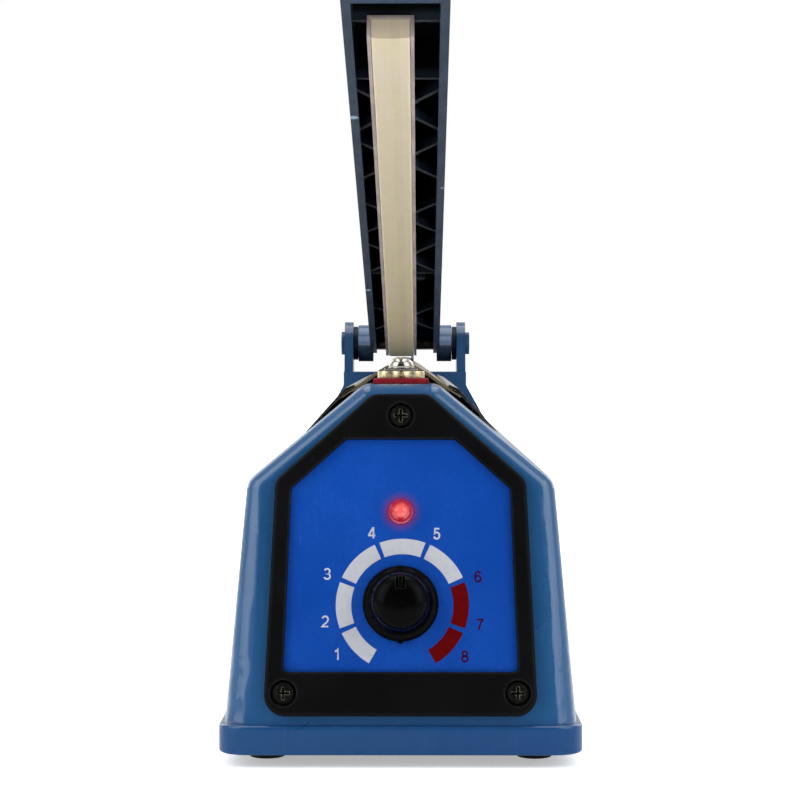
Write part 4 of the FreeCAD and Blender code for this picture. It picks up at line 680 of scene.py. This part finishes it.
# CAD part: material
PART_MATERIALS = {
    "anvil_bar": "mill_aluminium", "arm_casting": "enamel_blue_arm",
    "arm_return_spring": "spring_steel", "base_plate": "plate_galvanised",
    "base_screws": "zinc_plate", "bezel_screws": "screw_black",
    "board_capacitors": "sleeve_navy", "board_screws": "zinc_plate",
    "board_standoffs": "brass_turned", "body_shell": "enamel_blue",
    "clamp_screws": "plated_bright", "control_leads": "wire_white",
    "element_leads": "wire_red", "front_bezel": "moulding_black",
    "front_insulator": "fibre_red", "front_terminal": "brass_cast",
    "heating_element": "element_ribbon", "hinge_bolt": "hinge_bolt_part_painted",
    "hinge_nut": "hinge_paint", "hinge_washers": "washer_dark",
    "holder_screws": "zinc_plate", "insulating_tape": "tape_white",
    "mains_plug": "moulded_black", "micro_switch": "moulded_black",
    "panel_label": "label_print_blue", "pilot_lamp_holder": "moulded_black",
    "pilot_lamp_lens": "lens_red", "pot_nut": "zinc_plate", "pot_shaft": "brass_turned",
    "potentiometer": "zinc_plate", "power_cord": "cord_sheath", "ptfe_cloth": "cloth_brown",
    "rear_insulator": "fibre_red", "rear_terminal": "brass_cast", "rod_bush": "brass_turned",
    "rod_clip": "plated_bright", "rod_spring": "spring_steel", "rubber_feet": "rubber_black",
    "side_clamp_left": "clamp_aluminium", "side_clamp_right": "clamp_aluminium",
    "silicone_strip": "silicone_cream", "strain_relief": "moulded_black",
    "strip_holder": "holder_aluminium", "switch_bracket": "zinc_plate",
    "switch_button": "moulded_red", "switch_lever": "plated_bright",
    "switch_rod": "plated_bright", "switch_screws": "zinc_plate",
    "terminal_block": "block_green", "terminal_nuts": "zinc_plate",
    "terminal_screws": "plated_bright", "terminal_washers": "plated_bright",
    "timer_board": "board_green", "timer_knob": "phenolic_black",
    "timer_relay": "relay_blue", "transformer_coil": "coil_tape",
    "transformer_core": "core_laminations", "transformer_screws": "zinc_plate",
    "transformer_strap": "zinc_plate", "triac_and_heat_sink": "mill_aluminium",
}
for part_name, material_name in PART_MATERIALS.items():
    part = NODES.get(part_name)
    if part is None:
        continue
    if not part.material_slots:
        part.data.materials.append(None)
    for slot in part.material_slots:
        slot.link = "OBJECT"
        slot.material = MATERIALS[material_name]


# ---------------------------------------------------------------- mesh builders
def add_mesh(name, verts, faces, material, body, slot, replaces=None, smooth=30):
    """A new piece that moves with `body`; edges sharper than `smooth` degrees stay sharp."""
    mesh = bpy.data.meshes.new(name)
    mesh.from_pydata([tuple(point) for point in verts], [], faces)
    mesh.validate()
    bm = bmesh.new()
    bm.from_mesh(mesh)
    bmesh.ops.remove_doubles(bm, verts=bm.verts, dist=1e-7)
    bmesh.ops.recalc_face_normals(bm, faces=bm.faces)
    for face in bm.faces:
        face.smooth = True
    for edge in bm.edges:
        if len(edge.link_faces) == 2:
            edge.smooth = edge.calc_face_angle(0.0) < math.radians(smooth)
    bm.to_mesh(mesh)
    bm.free()
    piece = bpy.data.objects.new(name, mesh)
    scene.collection.objects.link(piece)
    mesh.materials.append(MATERIALS[material])
    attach(piece, body)
    if replaces:
        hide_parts(replaces)
    return piece


def add_arris(piece, width, angle, segments=2):
    """a narrow rounded edge; width in mm, on edges sharper than `angle` degrees"""
    bevel = piece.modifiers.new("arris", "BEVEL")
    bevel.width = width * MM
    bevel.segments = segments
    bevel.limit_method = "ANGLE"
    bevel.angle_limit = math.radians(angle)
    return bevel


def lathe(profile, steps, place):
    """Turns a (radius, height) profile whose first and last points lie on the axis."""
    verts, faces, rings = [], [], []
    for radius, height in profile:
        if radius < 1e-6:
            rings.append([len(verts)])
            verts.append(put(place, 0, 0, height))
            continue
        rings.append(range(len(verts), len(verts) + steps))
        for i in range(steps):
            turn = 2 * math.pi * i / steps
            verts.append(put(place, radius * math.cos(turn), radius * math.sin(turn), height))
    for lower, upper in zip(rings, rings[1:]):
        for i in range(steps):
            j = (i + 1) % steps
            if len(lower) == 1:
                faces.append((lower[0], upper[i], upper[j]))
            elif len(upper) == 1:
                faces.append((lower[i], upper[0], lower[j]))
            else:
                faces.append((lower[i], upper[i], upper[j], lower[j]))
    return verts, faces


def rounded(points, radius, steps):
    """Rounds the corners of an open profile, leaving slight and nearly straight ones."""
    out = [points[0]]
    for before, corner, after in zip(points, points[1:], points[2:]):
        corner = Vector(corner)
        back, ahead = Vector(before) - corner, Vector(after) - corner
        cut = min(radius, back.length * 0.45, ahead.length * 0.45)
        back.normalize()
        ahead.normalize()
        if cut < 0.02 or back.dot(ahead) < -0.985:
            out.append(tuple(corner))
            continue
        start, end = corner + back * cut, corner + ahead * cut
        for k in range(steps + 1):
            t = k / steps
            out.append(tuple(start * (1 - t) ** 2 + corner * (2 * t * (1 - t)) + end * t * t))
    out.append(points[-1])
    return out


def prism(place, outline, low, high):
    """a closed prism with the given outline between two heights"""
    count = len(outline)
    verts = [put(place, x, y, height) for height in (low, high) for x, y in outline]
    faces = [tuple(reversed(range(count))), tuple(range(count, 2 * count))]
    for i in range(count):
        j = (i + 1) % count
        faces.append((i, j, count + j, count + i))
    return verts, faces


# ---------------------------------------------------------------- dial print
INK_HEIGHTS = (1.065, 1.115)  # underside and top of the ink, out of the panel
ARC_CENTRE = (0.42, DIAL_UP - 0.33)
ARC_INNER, ARC_OUTER = 12.1, 15.76
ARC_STEPS = 20
# degrees clockwise from straight up: start, end
WHITE_ARCS = [(-150.0, -114.7), (-110.3, -69.7), (-65.3, -24.7), (-20.3, 20.3), (24.7, 65.3)]
RED_ARCS = [(69.7, 110.3), (114.7, 150.0)]


def add_arcs(name, spans, material):
    """ring segments, each a strip of quads so that no face crosses the ring"""
    verts, faces = [], []
    for start, end in spans:
        loop = []
        for radius, order in ((ARC_OUTER, range(ARC_STEPS + 1)),
                              (ARC_INNER, range(ARC_STEPS, -1, -1))):
            for k in order:
                turn = math.radians(start + (end - start) * k / ARC_STEPS)
                loop.append((ARC_CENTRE[0] + radius * math.sin(turn),
                             ARC_CENTRE[1] + radius * math.cos(turn)))
        low, count = len(verts), len(loop)
        high = low + count
        for height in INK_HEIGHTS:
            verts += [put(PANEL, x, y, height) for x, y in loop]
        for k in range(ARC_STEPS):
            inner = count - 1 - k
            faces.append((high + k, high + inner, high + inner - 1, high + k + 1))
            faces.append((low + k, low + k + 1, low + inner - 1, low + inner))
        for k in range(count):
            j = (k + 1) % count
            faces.append((low + k, low + j, high + j, high + k))
    add_mesh(name, verts, faces, material, "root", slot="blue_label")


add_arcs("dial_scale_white", WHITE_ARCS, "ink_white")
add_arcs("dial_scale_red", RED_ARCS, "ink_red")

# figure, x across and y up the panel
WHITE_FIGURES = [("1", -14.96, 16.64), ("2", -17.83, 24.36), ("3", -17.42, 35.6),
                 ("4", -6.8, 45.36), ("5", 8.55, 45.15)]
RED_FIGURES = [("6", 18.31, 34.94), ("7", 18.73, 23.66), ("8", 15.16, 16.17)]
FIGURE_HEIGHT = 2.68
STROKE_HALF = 0.2


def bow(cx, cy, rx, ry, start, end, steps):
    """points along an elliptical arc, angles in degrees from +x"""
    turns = [math.radians(start + (end - start) * i / steps) for i in range(steps + 1)]
    return [(cx + rx * math.cos(turn), cy + ry * math.sin(turn)) for turn in turns]


# plain sans figures, one unit tall, centred on x = 0; each stroke is (points, closed)
GLYPHS = {
    "1": [([(-0.20, 0.74), (-0.04, 0.80), (0.06, 0.93), (0.07, 0.95), (0.07, 0.0)], False)],
    "2": [(bow(0.0, 0.70, 0.25, 0.25, 165, -20, 14)
           + [(0.17, 0.47), (0.02, 0.32), (-0.16, 0.17), (-0.25, 0.05), (0.27, 0.05)], False)],
    "3": [(bow(0.0, 0.72, 0.23, 0.23, 160, -75, 14) + [(-0.04, 0.51), (0.03, 0.50)]
           + bow(0.0, 0.27, 0.26, 0.23, 70, -165, 16), False)],
    "4": [([(0.12, 0.0), (0.12, 0.93), (0.08, 0.93), (-0.28, 0.30), (-0.28, 0.26),
            (0.30, 0.26)], False)],
    "5": [([(0.24, 0.94), (-0.14, 0.94), (-0.20, 0.50)]
           + bow(0.0, 0.33, 0.25, 0.28, 140, -160, 18), False)],
    "6": [([(0.22, 0.80)] + bow(0.0, 0.62, 0.235, 0.33, 50, 180, 12)[1:]
           + [(-0.245, 0.40)], False),
          (bow(0.0, 0.32, 0.245, 0.27, 0, 345, 20), True)],
    "7": [([(-0.25, 0.93), (0.25, 0.93), (0.24, 0.90), (0.08, 0.62), (-0.03, 0.32),
            (-0.08, 0.0)], False)],
    "8": [(bow(0.0, 0.73, 0.205, 0.215, 0, 345, 20), True),
          (bow(0.0, 0.28, 0.25, 0.235, 0, 345, 20), True)],
}


def stroke_edges(path, closed):
    """the points to the left of a path of vectors, then those to the right"""
    count = len(path)
    left, right = [], []
    for i, point in enumerate(path):
        before = point - path[i - 1] if i or closed else path[1] - point
        after = path[(i + 1) % count] - point if i < count - 1 or closed else before
        before = before.normalized()
        along = (before + after.normalized()).normalized()
        across = Vector((-along.y, along.x))
        reach = STROKE_HALF / max(0.5, across.dot(Vector((-before.y, before.x))))
        left.append(point + across * reach)
        right.append(point - across * reach)
    return left + right


def add_figures(name, figures, material):
    verts, faces = [], []
    strokes = [(x, up, *line) for glyph, x, up in figures for line in GLYPHS[glyph]]
    for x, up, points, closed in strokes:
        path = [Vector((x + px * FIGURE_HEIGHT, up + (py - 0.5) * FIGURE_HEIGHT))
                for px, py in points]
        count, base = len(path), len(verts)
        outline = stroke_edges(path, closed)
        for height in INK_HEIGHTS:
            verts += [put(PANEL, point.x, point.y, height) for point in outline]
        low_left, low_right, high_left, high_right = (base + k * count for k in range(4))
        for i in range(count if closed else count - 1):
            j = (i + 1) % count
            faces.append((high_left + i, high_right + i, high_right + j, high_left + j))
            faces.append((low_left + i, low_left + j, low_right + j, low_right + i))
            faces.append((low_left + i, high_left + i, high_left + j, low_left + j))
            faces.append((low_right + i, low_right + j, high_right + j, high_right + i))
        if not closed:
            for i in (0, count - 1):
                faces.append((low_left + i, low_right + i, high_right + i, high_left + i))
    add_mesh(name, verts, faces, material, "root", slot="blue_label")


add_figures("dial_figures_white", WHITE_FIGURES, "ink_white")
add_figures("dial_figures_red", RED_FIGURES, "ink_maroon")


# ---------------------------------------------------------------- timer knob
# (radius, height above the panel) over the outside, then back up the hollow inside
KNOB_OUTER = [
    (0, 15.9), (1.5, 15.86), (3.0, 15.66), (4.3, 15.28), (5.35, 14.72), (6.05, 14.0),
    (6.5, 13.05), (6.68, 12.0), (6.78, 9.0), (6.95, 6.6), (7.2, 5.4), (7.7, 4.75),
    (8.35, 4.3), (8.8, 3.75), (8.98, 3.1), (9.0, 2.4), (8.98, 1.75), (8.7, 1.38),
]
KNOB_INNER = [(6.4, 1.36), (6.4, 4.5), (3.06, 4.6), (3.06, 12.55), (0, 12.55)]
# outlines on the face of the knob, from its axis
WINDOW = [(-1.12, 2.95), (1.12, 2.95), (1.12, 6.15), (-1.12, 6.15)]
WINDOW_LINE = [(-0.5, 3.3), (0.5, 3.3), (0.5, 5.8), (-0.5, 5.8)]
POINTER = [(-1.0, -8.7), (-0.28, -9.55), (0.28, -9.55), (1.0, -8.7)]


def cut_window(knob, place):
    """sinks the sighting window into the cap and keeps the result as the knob's mesh"""
    verts, faces = prism(place, WINDOW, low=14.15, high=17)
    mesh = bpy.data.meshes.new("knob_window_cut")
    mesh.from_pydata([tuple(point) for point in verts], [], faces)
    cutter = bpy.data.objects.new("knob_window_cut", mesh)
    scene.collection.objects.link(cutter)
    cut = knob.modifiers.new("window", "BOOLEAN")
    cut.operation = "DIFFERENCE"
    cut.solver = "EXACT"
    cut.object = cutter
    bpy.context.view_layer.update()
    depsgraph = bpy.context.evaluated_depsgraph_get()
    result = bpy.data.meshes.new_from_object(knob.evaluated_get(depsgraph))
    knob.modifiers.clear()
    uncut = knob.data
    knob.data = result
    result.name = "timer_knob_turned"
    bpy.data.objects.remove(cutter)
    bpy.data.meshes.remove(uncut)


def build_knob():
    place = PANEL @ Matrix.Translation(Vector((0, DIAL_UP, 0)) * MM)
    profile = rounded(KNOB_OUTER, radius=0.5, steps=4) + KNOB_INNER
    look = dict(material="phenolic_black", body="knob", slot="gloss_black")
    knob = add_mesh("timer_knob_turned", *lathe(profile, 112, place), **look,
                    replaces="timer_knob", smooth=40)
    cut_window(knob, place)
    add_arris(knob, width=0.11, angle=42)
    line = prism(place, WINDOW_LINE, low=14, high=15.02)
    add_arris(add_mesh("timer_knob_line", *line, **look), width=0.12, angle=42)
    pointer = prism(place, POINTER, low=1.6, high=3.6)
    add_arris(add_mesh("timer_knob_pointer", *pointer, **look),
              width=0.22, angle=30, segments=3)


build_knob()


def drift(x, y, z):
    """smooth noise, about -1 to 1"""
    return noise.noise(Vector((x, y, z)))


def clamp01(value):
    return min(1.0, max(0.0, value))


# ---------------------------------------------------------------- sealing strip
STRIP_HALF = 4.97  # half width
STRIP_FACE, STRIP_BACK, STRIP_GROOVE = -6.8, -1.51, -3.95  # heights in the arm frame
STRIP_CROWN = 0.16  # the face stands this much higher at its sides
STRIP_CORNER = 0.6
STRIP_ENDS = (-5.3, -348.9)  # rear and front, along the arm
STRIP_STEPS = 150


def strip_section():
    """closed (x, z) outline, symmetric about x = 0, starting at the middle of the face"""
    flat = STRIP_HALF - STRIP_CORNER
    right = [(k / 8 * flat, STRIP_FACE + STRIP_CROWN * (k / 8) ** 2.2) for k in range(9)]
    for i in range(1, 7):
        turn = math.radians(15 * i)
        rise = STRIP_CROWN + STRIP_CORNER - STRIP_CORNER * math.cos(turn)
        right.append((flat + STRIP_CORNER * math.sin(turn), STRIP_FACE + rise))
    right += [(STRIP_HALF, STRIP_FACE + 1.6), (STRIP_HALF, -3.4), (STRIP_HALF, STRIP_BACK),
              (2.9, STRIP_BACK), (2.9, STRIP_GROOVE), (1.4, STRIP_GROOVE)]
    return right + [(-x, z) for x, z in reversed(right) if x > 1e-6]


def strip_point(x, y, z, at_end, fade):
    """one section point, made wavy near the face; at_end closes the groove"""
    low = clamp01((-4.2 - z) / 1.5)
    waviness = drift(x * 0.11, y * 0.045, 3.1) * 0.09 + drift(x * 0.5, y * 0.35, 9.7) * 0.02
    dent = 0.05 * math.exp(-(x + STRIP_X) ** 2) * (0.6 + 0.4 * drift(0.3, y * 0.03, 1.0))
    if z == STRIP_GROOVE and at_end:
        z = STRIP_BACK
    z += low * (abs(waviness) + dent) + (1 - fade) * 0.12 * low
    sway = abs(drift(5.0, y * 0.06, 0.2 if x > 0 else 4.0)) * 2
    x -= math.copysign(min(abs(x), 0.05), x) * low * sway
    return put(ARM, STRIP_X + x, y, z)


def build_strip():
    """Silicone strip: crowned face, soft corners, grooved back, slightly wavy."""
    section = strip_section()
    count = len(section)
    verts, faces = [], []
    for i in range(STRIP_STEPS + 1):
        t = i / STRIP_STEPS
        y = STRIP_ENDS[0] + (STRIP_ENDS[1] - STRIP_ENDS[0]) * t
        fade = min(1.0, min(t, 1 - t) * STRIP_STEPS / 2)
        at_end = i < 2 or i > STRIP_STEPS - 2
        verts += [strip_point(x, y, z, at_end, fade) for x, z in section]
    for i in range(STRIP_STEPS):
        this, following = i * count, (i + 1) * count
        for k in range(count):
            j = (k + 1) % count
            faces.append((this + k, this + j, following + j, following + k))
    last = STRIP_STEPS * count
    faces.append(tuple(reversed(range(count))))
    faces.append(tuple(range(last, last + count)))
    add_mesh("silicone_strip_soft", verts, faces, "silicone_cream", "arm",
             slot="beige_silicone", replaces="silicone_strip", smooth=35)


build_strip()


# ---------------------------------------------------------------- cloth over the sealing bed
RIDGE_HALF, RIDGE_Z = 3.6, 94.55  # the flat top
EAVE_X, EAVE_Z = 15.2, 86.52  # lower edge of each slope
SLOPE_NORMAL = (0.5692, 0.8222)  # outward x, z of the right-hand slope
CLOTH_FRONT, CLOTH_REAR = -155.0, 139.0
CLOTH_END_STATIONS = [0, 0.3, 0.8, 1.6, 2.6, 3.6]  # distances in from each end
CLOTH_OPEN_FROM = 4.4  # evenly spaced stations begin here
CLOTH_STEPS = 170
CLOTH_THICK, HEM_THICK = 0.33, 0.44
HEM_SPAN = (0.02, 0.8)  # part of the slope that the hem covers
FREE_SPAN = 0.74  # part of the slope free to pucker


def cloth_section():
    """(x, z, t) from left to right; t is 0 on the ridge and grows to 1 down each slope"""
    ridge = []
    for k in range(-6, 7):
        x = RIDGE_HALF * k / 6
        ridge.append((x, RIDGE_Z - 0.105 * max(0.0, (abs(x) - 2.4) / 1.2) ** 2, 0.0))
    slope = []
    for k in range(1, 23):
        t = k / 22
        slope.append((RIDGE_HALF + (EAVE_X - RIDGE_HALF) * t,
                      RIDGE_Z + (EAVE_Z - RIDGE_Z) * t, t))
    return [(-x, z, t) for x, z, t in reversed(slope)] + ridge + slope


def cloth_stations():
    even = CLOTH_REAR - CLOTH_FRONT - 2 * CLOTH_OPEN_FROM
    start = CLOTH_FRONT + CLOTH_OPEN_FROM
    return ([CLOTH_FRONT + d for d in CLOTH_END_STATIONS]
            + [start + even * i / CLOTH_STEPS for i in range(CLOTH_STEPS + 1)]
            + [CLOTH_REAR - d for d in reversed(CLOTH_END_STATIONS)
               if d != CLOTH_END_STATIONS[-1]][:0]
            + [CLOTH_REAR - d for d in reversed(CLOTH_END_STATIONS)])


def cloth_points(x, y, z, t):
    """a point of the upper face and the one below it"""
    inset = min(y - CLOTH_FRONT, CLOTH_REAR - y)
    hem = 1 - clamp01((inset - 2.4) / 1.4)
    hem = hem * hem * (3 - 2 * hem)
    side = 1 if x > 0 else -1
    if t == 0:
        normal_x, normal_z = 0, 1
        lift = max(drift(x * 0.8, y * 0.8, 4.4) * 0.025, -0.02) - 0.02
    else:
        normal_x, normal_z = SLOPE_NORMAL[0] * side, SLOPE_NORMAL[1]
        free = math.sin(math.pi * t / FREE_SPAN) if t < FREE_SPAN else 0
        pucker = (drift(side * 3.0 + t * 1.6, y * 0.052, 0.5) * 0.30
                  + drift(side * 7.0 + t * 5.0, y * 0.16, 2.0) * 0.10)
        lift = max(free * (0.16 + pucker), -0.02)
    hem_start, hem_end = HEM_SPAN
    thick = CLOTH_THICK + (HEM_THICK * hem * clamp01((t - hem_start) * 6)
                           * clamp01((hem_end - t) * 10))
    if hem_start < t < hem_end:
        thick += 0.05 * math.sin(t * 150) * hem  # ribs under the hem
    if inset < 0.05:  # frayed cut ends
        front = y < 0
        jag = 0.10 * drift(x * 1.7, 3.3 if front else 8.8, 1.0)
        y += jag if front else -jag
    x += normal_x * lift
    z += normal_z * lift
    return (Vector((x, y, z)) * MM,
            Vector((x - normal_x * thick, y, z - normal_z * thick)) * MM)


def build_cloth():
    """Glass cloth taut over the ridge, puckered on the slopes, a thick hem at each end."""
    section, stations = cloth_section(), cloth_stations()
    pairs = [cloth_points(x, y, z, t) for y in stations for x, z, t in section]
    verts = [upper for upper, _ in pairs] + [lower for _, lower in pairs]
    under, count, rows = len(pairs), len(section), len(stations)
    faces = []
    for i in range(rows - 1):
        this, following = i * count, (i + 1) * count
        for k in range(count - 1):
            quad = (this + k, this + k + 1, following + k + 1, following + k)
            faces.append(quad)
            faces.append(tuple(under + quad[j] for j in (0, 3, 2, 1)))
        faces.append((this, following, under + following, under + this))
        left, right = this + count - 1, following + count - 1
        faces.append((left, under + left, under + right, right))
    last = (rows - 1) * count
    for k in range(count - 1):
        faces.append((k, under + k, under + k + 1, k + 1))
        a = last + k
        faces.append((a, a + 1, under + a + 1, under + a))
    add_mesh("ptfe_cloth_stretched", verts, faces, "cloth_brown", "root",
             slot="brown_cloth", replaces="ptfe_cloth", smooth=48)


build_cloth()


# ---------------------------------------------------------------- rubber feet
FOOT_X, FOOT_Y = 32.3, 183.0
# (radius, height): hollow underside, pad, neck and the head above it
FOOT_PROFILE = [
    (0, 0.55), (1.3, 0.55), (1.5, 0.42), (1.7, 0.04), (2.0, 0.0), (3.7, 0.0), (4.15, 0.14),
    (4.4, 0.5), (4.5, 1.2), (4.46, 2.2), (4.34, 2.75), (4.05, 2.97), (2.0, 2.97),
    (2.0, 4.3), (2.7, 4.4), (2.62, 5.0), (2.2, 6.05), (1.9, 6.2), (0, 6.2),
]


def build_feet():
    profile = rounded(FOOT_PROFILE, radius=0.25, steps=3)
    verts, faces = [], []
    for y in (-FOOT_Y, FOOT_Y):
        for x in (-FOOT_X, FOOT_X):
            place = Matrix.Translation(Vector((x, y, 0)) * MM)
            foot_verts, foot_faces = lathe(profile, 64, place)
            base = len(verts)
            verts += foot_verts
            faces += [tuple(base + i for i in face) for face in foot_faces]
    add_mesh("rubber_feet_moulded", verts, faces, "rubber_black", "root",
             slot="black_rubber", replaces="rubber_feet", smooth=40)


build_feet()

# ---------------------------------------------------------------- edges of the CAD parts
# part: width of its rounded edges
ARRISES = {
    "front_bezel": 0.35, "front_insulator": 0.22, "rear_insulator": 0.22,
    "front_terminal": 0.5, "rear_terminal": 0.5, "terminal_washers": 0.18,
    "terminal_screws": 0.16, "side_clamp_left": 0.14, "side_clamp_right": 0.14,
    "hinge_nut": 0.3, "hinge_bolt": 0.3, "strip_holder": 0.12, "bezel_screws": 0.08,
    "mains_plug": 0.4, "anvil_bar": 0.2, "heating_element": 0.08, "arm_casting": 0.35,
    "strain_relief": 0.3, "clamp_screws": 0.08, "base_plate": 0.2,
}


def dress(part, width):
    """faces joined up, flats cleaned, then a rounded edge"""
    join = part.modifiers.new("join", "WELD")
    join.merge_threshold = 2e-6
    flats = part.modifiers.new("flats", "DECIMATE")
    flats.decimate_type = "DISSOLVE"
    flats.angle_limit = math.radians(0.4)
    add_arris(part, width, angle=32).miter_outer = "MITER_ARC"


for part_name, arris_width in ARRISES.items():
    if NODES.get(part_name) is not None:
        dress(NODES[part_name], arris_width)


# ---------------------------------------------------------------- lights
def add_softbox(name, at, aim, size, radiance, tint=(1, 1, 1)):
    light = bpy.data.lights.new(name, "AREA")
    light.shape = "RECTANGLE"
    light.size, light.size_y = size
    light.energy = radiance * math.pi * size[0] * size[1]
    light.color = tint
    lamp = bpy.data.objects.new(name, light)
    scene.collection.objects.link(lamp)
    lamp.location = at
    lamp.rotation_mode = "QUATERNION"
    lamp.rotation_quaternion = (Vector(aim) - Vector(at)).to_track_quat("-Z", "Y")
    lamp.visible_camera = False


FRONT = dict(aim=(0, -0.05, 0.08), tint=(0.95, 1, 1))
REAR = dict(aim=(0, 0.1, 0.08), size=(0.6, 0.8), radiance=2)
for name, x in (("softbox_left", -0.62), ("softbox_right", 0.62)):
    add_softbox(name, at=(x, -0.70, 0.52), size=(0.46, 0.84), radiance=3.2, **FRONT)
for name, x in (("softbox_left_side", -0.88), ("softbox_right_side", 0.88)):
    add_softbox(name, at=(x, -0.45, 0.52), size=(0.34, 0.84), radiance=2.2, **FRONT)
add_softbox("softbox_top", at=(0, 0.05, 1.15), aim=(0, 0, 0.05), size=(1, 1.1), radiance=2.6)
for name, x in (("softbox_rear_left", -0.75), ("softbox_rear_right", 0.75)):
    add_softbox(name, at=(x, 0.75, 0.5), **REAR)


def build_world():
    """White to the camera; as light, dim from the front (-Y) and brighter from behind."""
    world = bpy.data.worlds.new("studio")
    scene.world = world
    world.use_nodes = True
    tree = world.node_tree
    tree.nodes.clear()
    output = add_node(tree, "ShaderNodeOutputWorld")
    direction = add_node(tree, "ShaderNodeTexCoord").outputs["Generated"]
    axes = add_node(tree, "ShaderNodeSeparateXYZ", {0: direction})
    # 1 and 2 are the range of the direction's y, 3 and 4 the strengths it maps to
    strength = add_node(tree, "ShaderNodeMapRange",
                        {0: axes.outputs[1], 1: -0.95, 2: 0.1, 3: 0.06, 4: 0.70},
                        interpolation_type="SMOOTHSTEP")
    ambient = add_node(tree, "ShaderNodeBackground",
                       {0: (0.97, 0.985, 1, 1), 1: strength.outputs[0]})
    white = add_node(tree, "ShaderNodeBackground", {0: (1, 1, 1, 1), 1: 1})
    seen = add_node(tree, "ShaderNodeLightPath").outputs["Is Camera Ray"]
    mixed = add_node(tree, "ShaderNodeMixShader",
                     {0: seen, 1: ambient.outputs[0], 2: white.outputs[0]})
    tree.links.new(mixed.outputs[0], output.inputs[0])


build_world()


# ---------------------------------------------------------------- floor
def paper_white():
    """Matt paper with its own glow, stronger to the camera and away from the object."""
    mat = Material("paper_white", (0.93, 0.93, 0.93, 1))
    mat.over((0.90, 0.90, 0.90, 1), mat.patches(3))
    mat.rough = 0.9
    mat.grain(900, depth=1e-5)
    away = mat.add("ShaderNodeVectorMath", {0: mat.coord}, operation="LENGTH").outputs["Value"]
    seen = mat.add("ShaderNodeLightPath").outputs["Is Camera Ray"]
    extra = mat.math("ADD", 0.14, mat.ramp(away, (0.45, 1.3), to=(0, 0.9)))
    mat.finish(spec=0.1, glow=(1, 1, 1, 1),
               glow_power=mat.math("ADD", 0.28, mat.times(extra, seen)))


def build_floor():
    mesh = bpy.data.meshes.new("floor")
    bm = bmesh.new()
    bmesh.ops.create_grid(bm, x_segments=8, y_segments=8, size=6)
    bm.to_mesh(mesh)
    bm.free()
    floor = bpy.data.objects.new("floor", mesh)
    scene.collection.objects.link(floor)
    floor.location = (0, 0, -0.0001)
    paper_white()
    mesh.materials.append(MATERIALS["paper_white"])


build_floor()


# ---------------------------------------------------------------- camera and render
def build_camera():
    """In front of the panel, looking along +Y and slightly down and to the left."""
    data = bpy.data.cameras.new("camera")
    data.lens, data.sensor_width = 105.66, 36
    data.clip_start, data.clip_end = 0.01, 50
    camera = bpy.data.objects.new("camera", data)
    scene.collection.objects.link(camera)
    camera.location = (0.00255, -0.750, 0.0979)
    camera.rotation_mode = "QUATERNION"
    look = Vector((-0.0048552, 1, -0.0204429))
    camera.rotation_quaternion = look.normalized().to_track_quat("-Z", "Y")
    scene.camera = camera


def set_render():
    cycles = scene.cycles
    cycles.use_adaptive_sampling = True
    cycles.adaptive_threshold = 0.03
    cycles.max_bounces = 6
    cycles.diffuse_bounces = cycles.glossy_bounces = 3
    cycles.transmission_bounces = 2
    cycles.transparent_max_bounces = 4
    cycles.caustics_reflective = cycles.caustics_refractive = False
    view = scene.view_settings
    view.view_transform = "Standard"
    view.look = "None"
    view.exposure = 0
    view.gamma = 1


build_camera()
set_render()

bpy.context.view_layer.update()
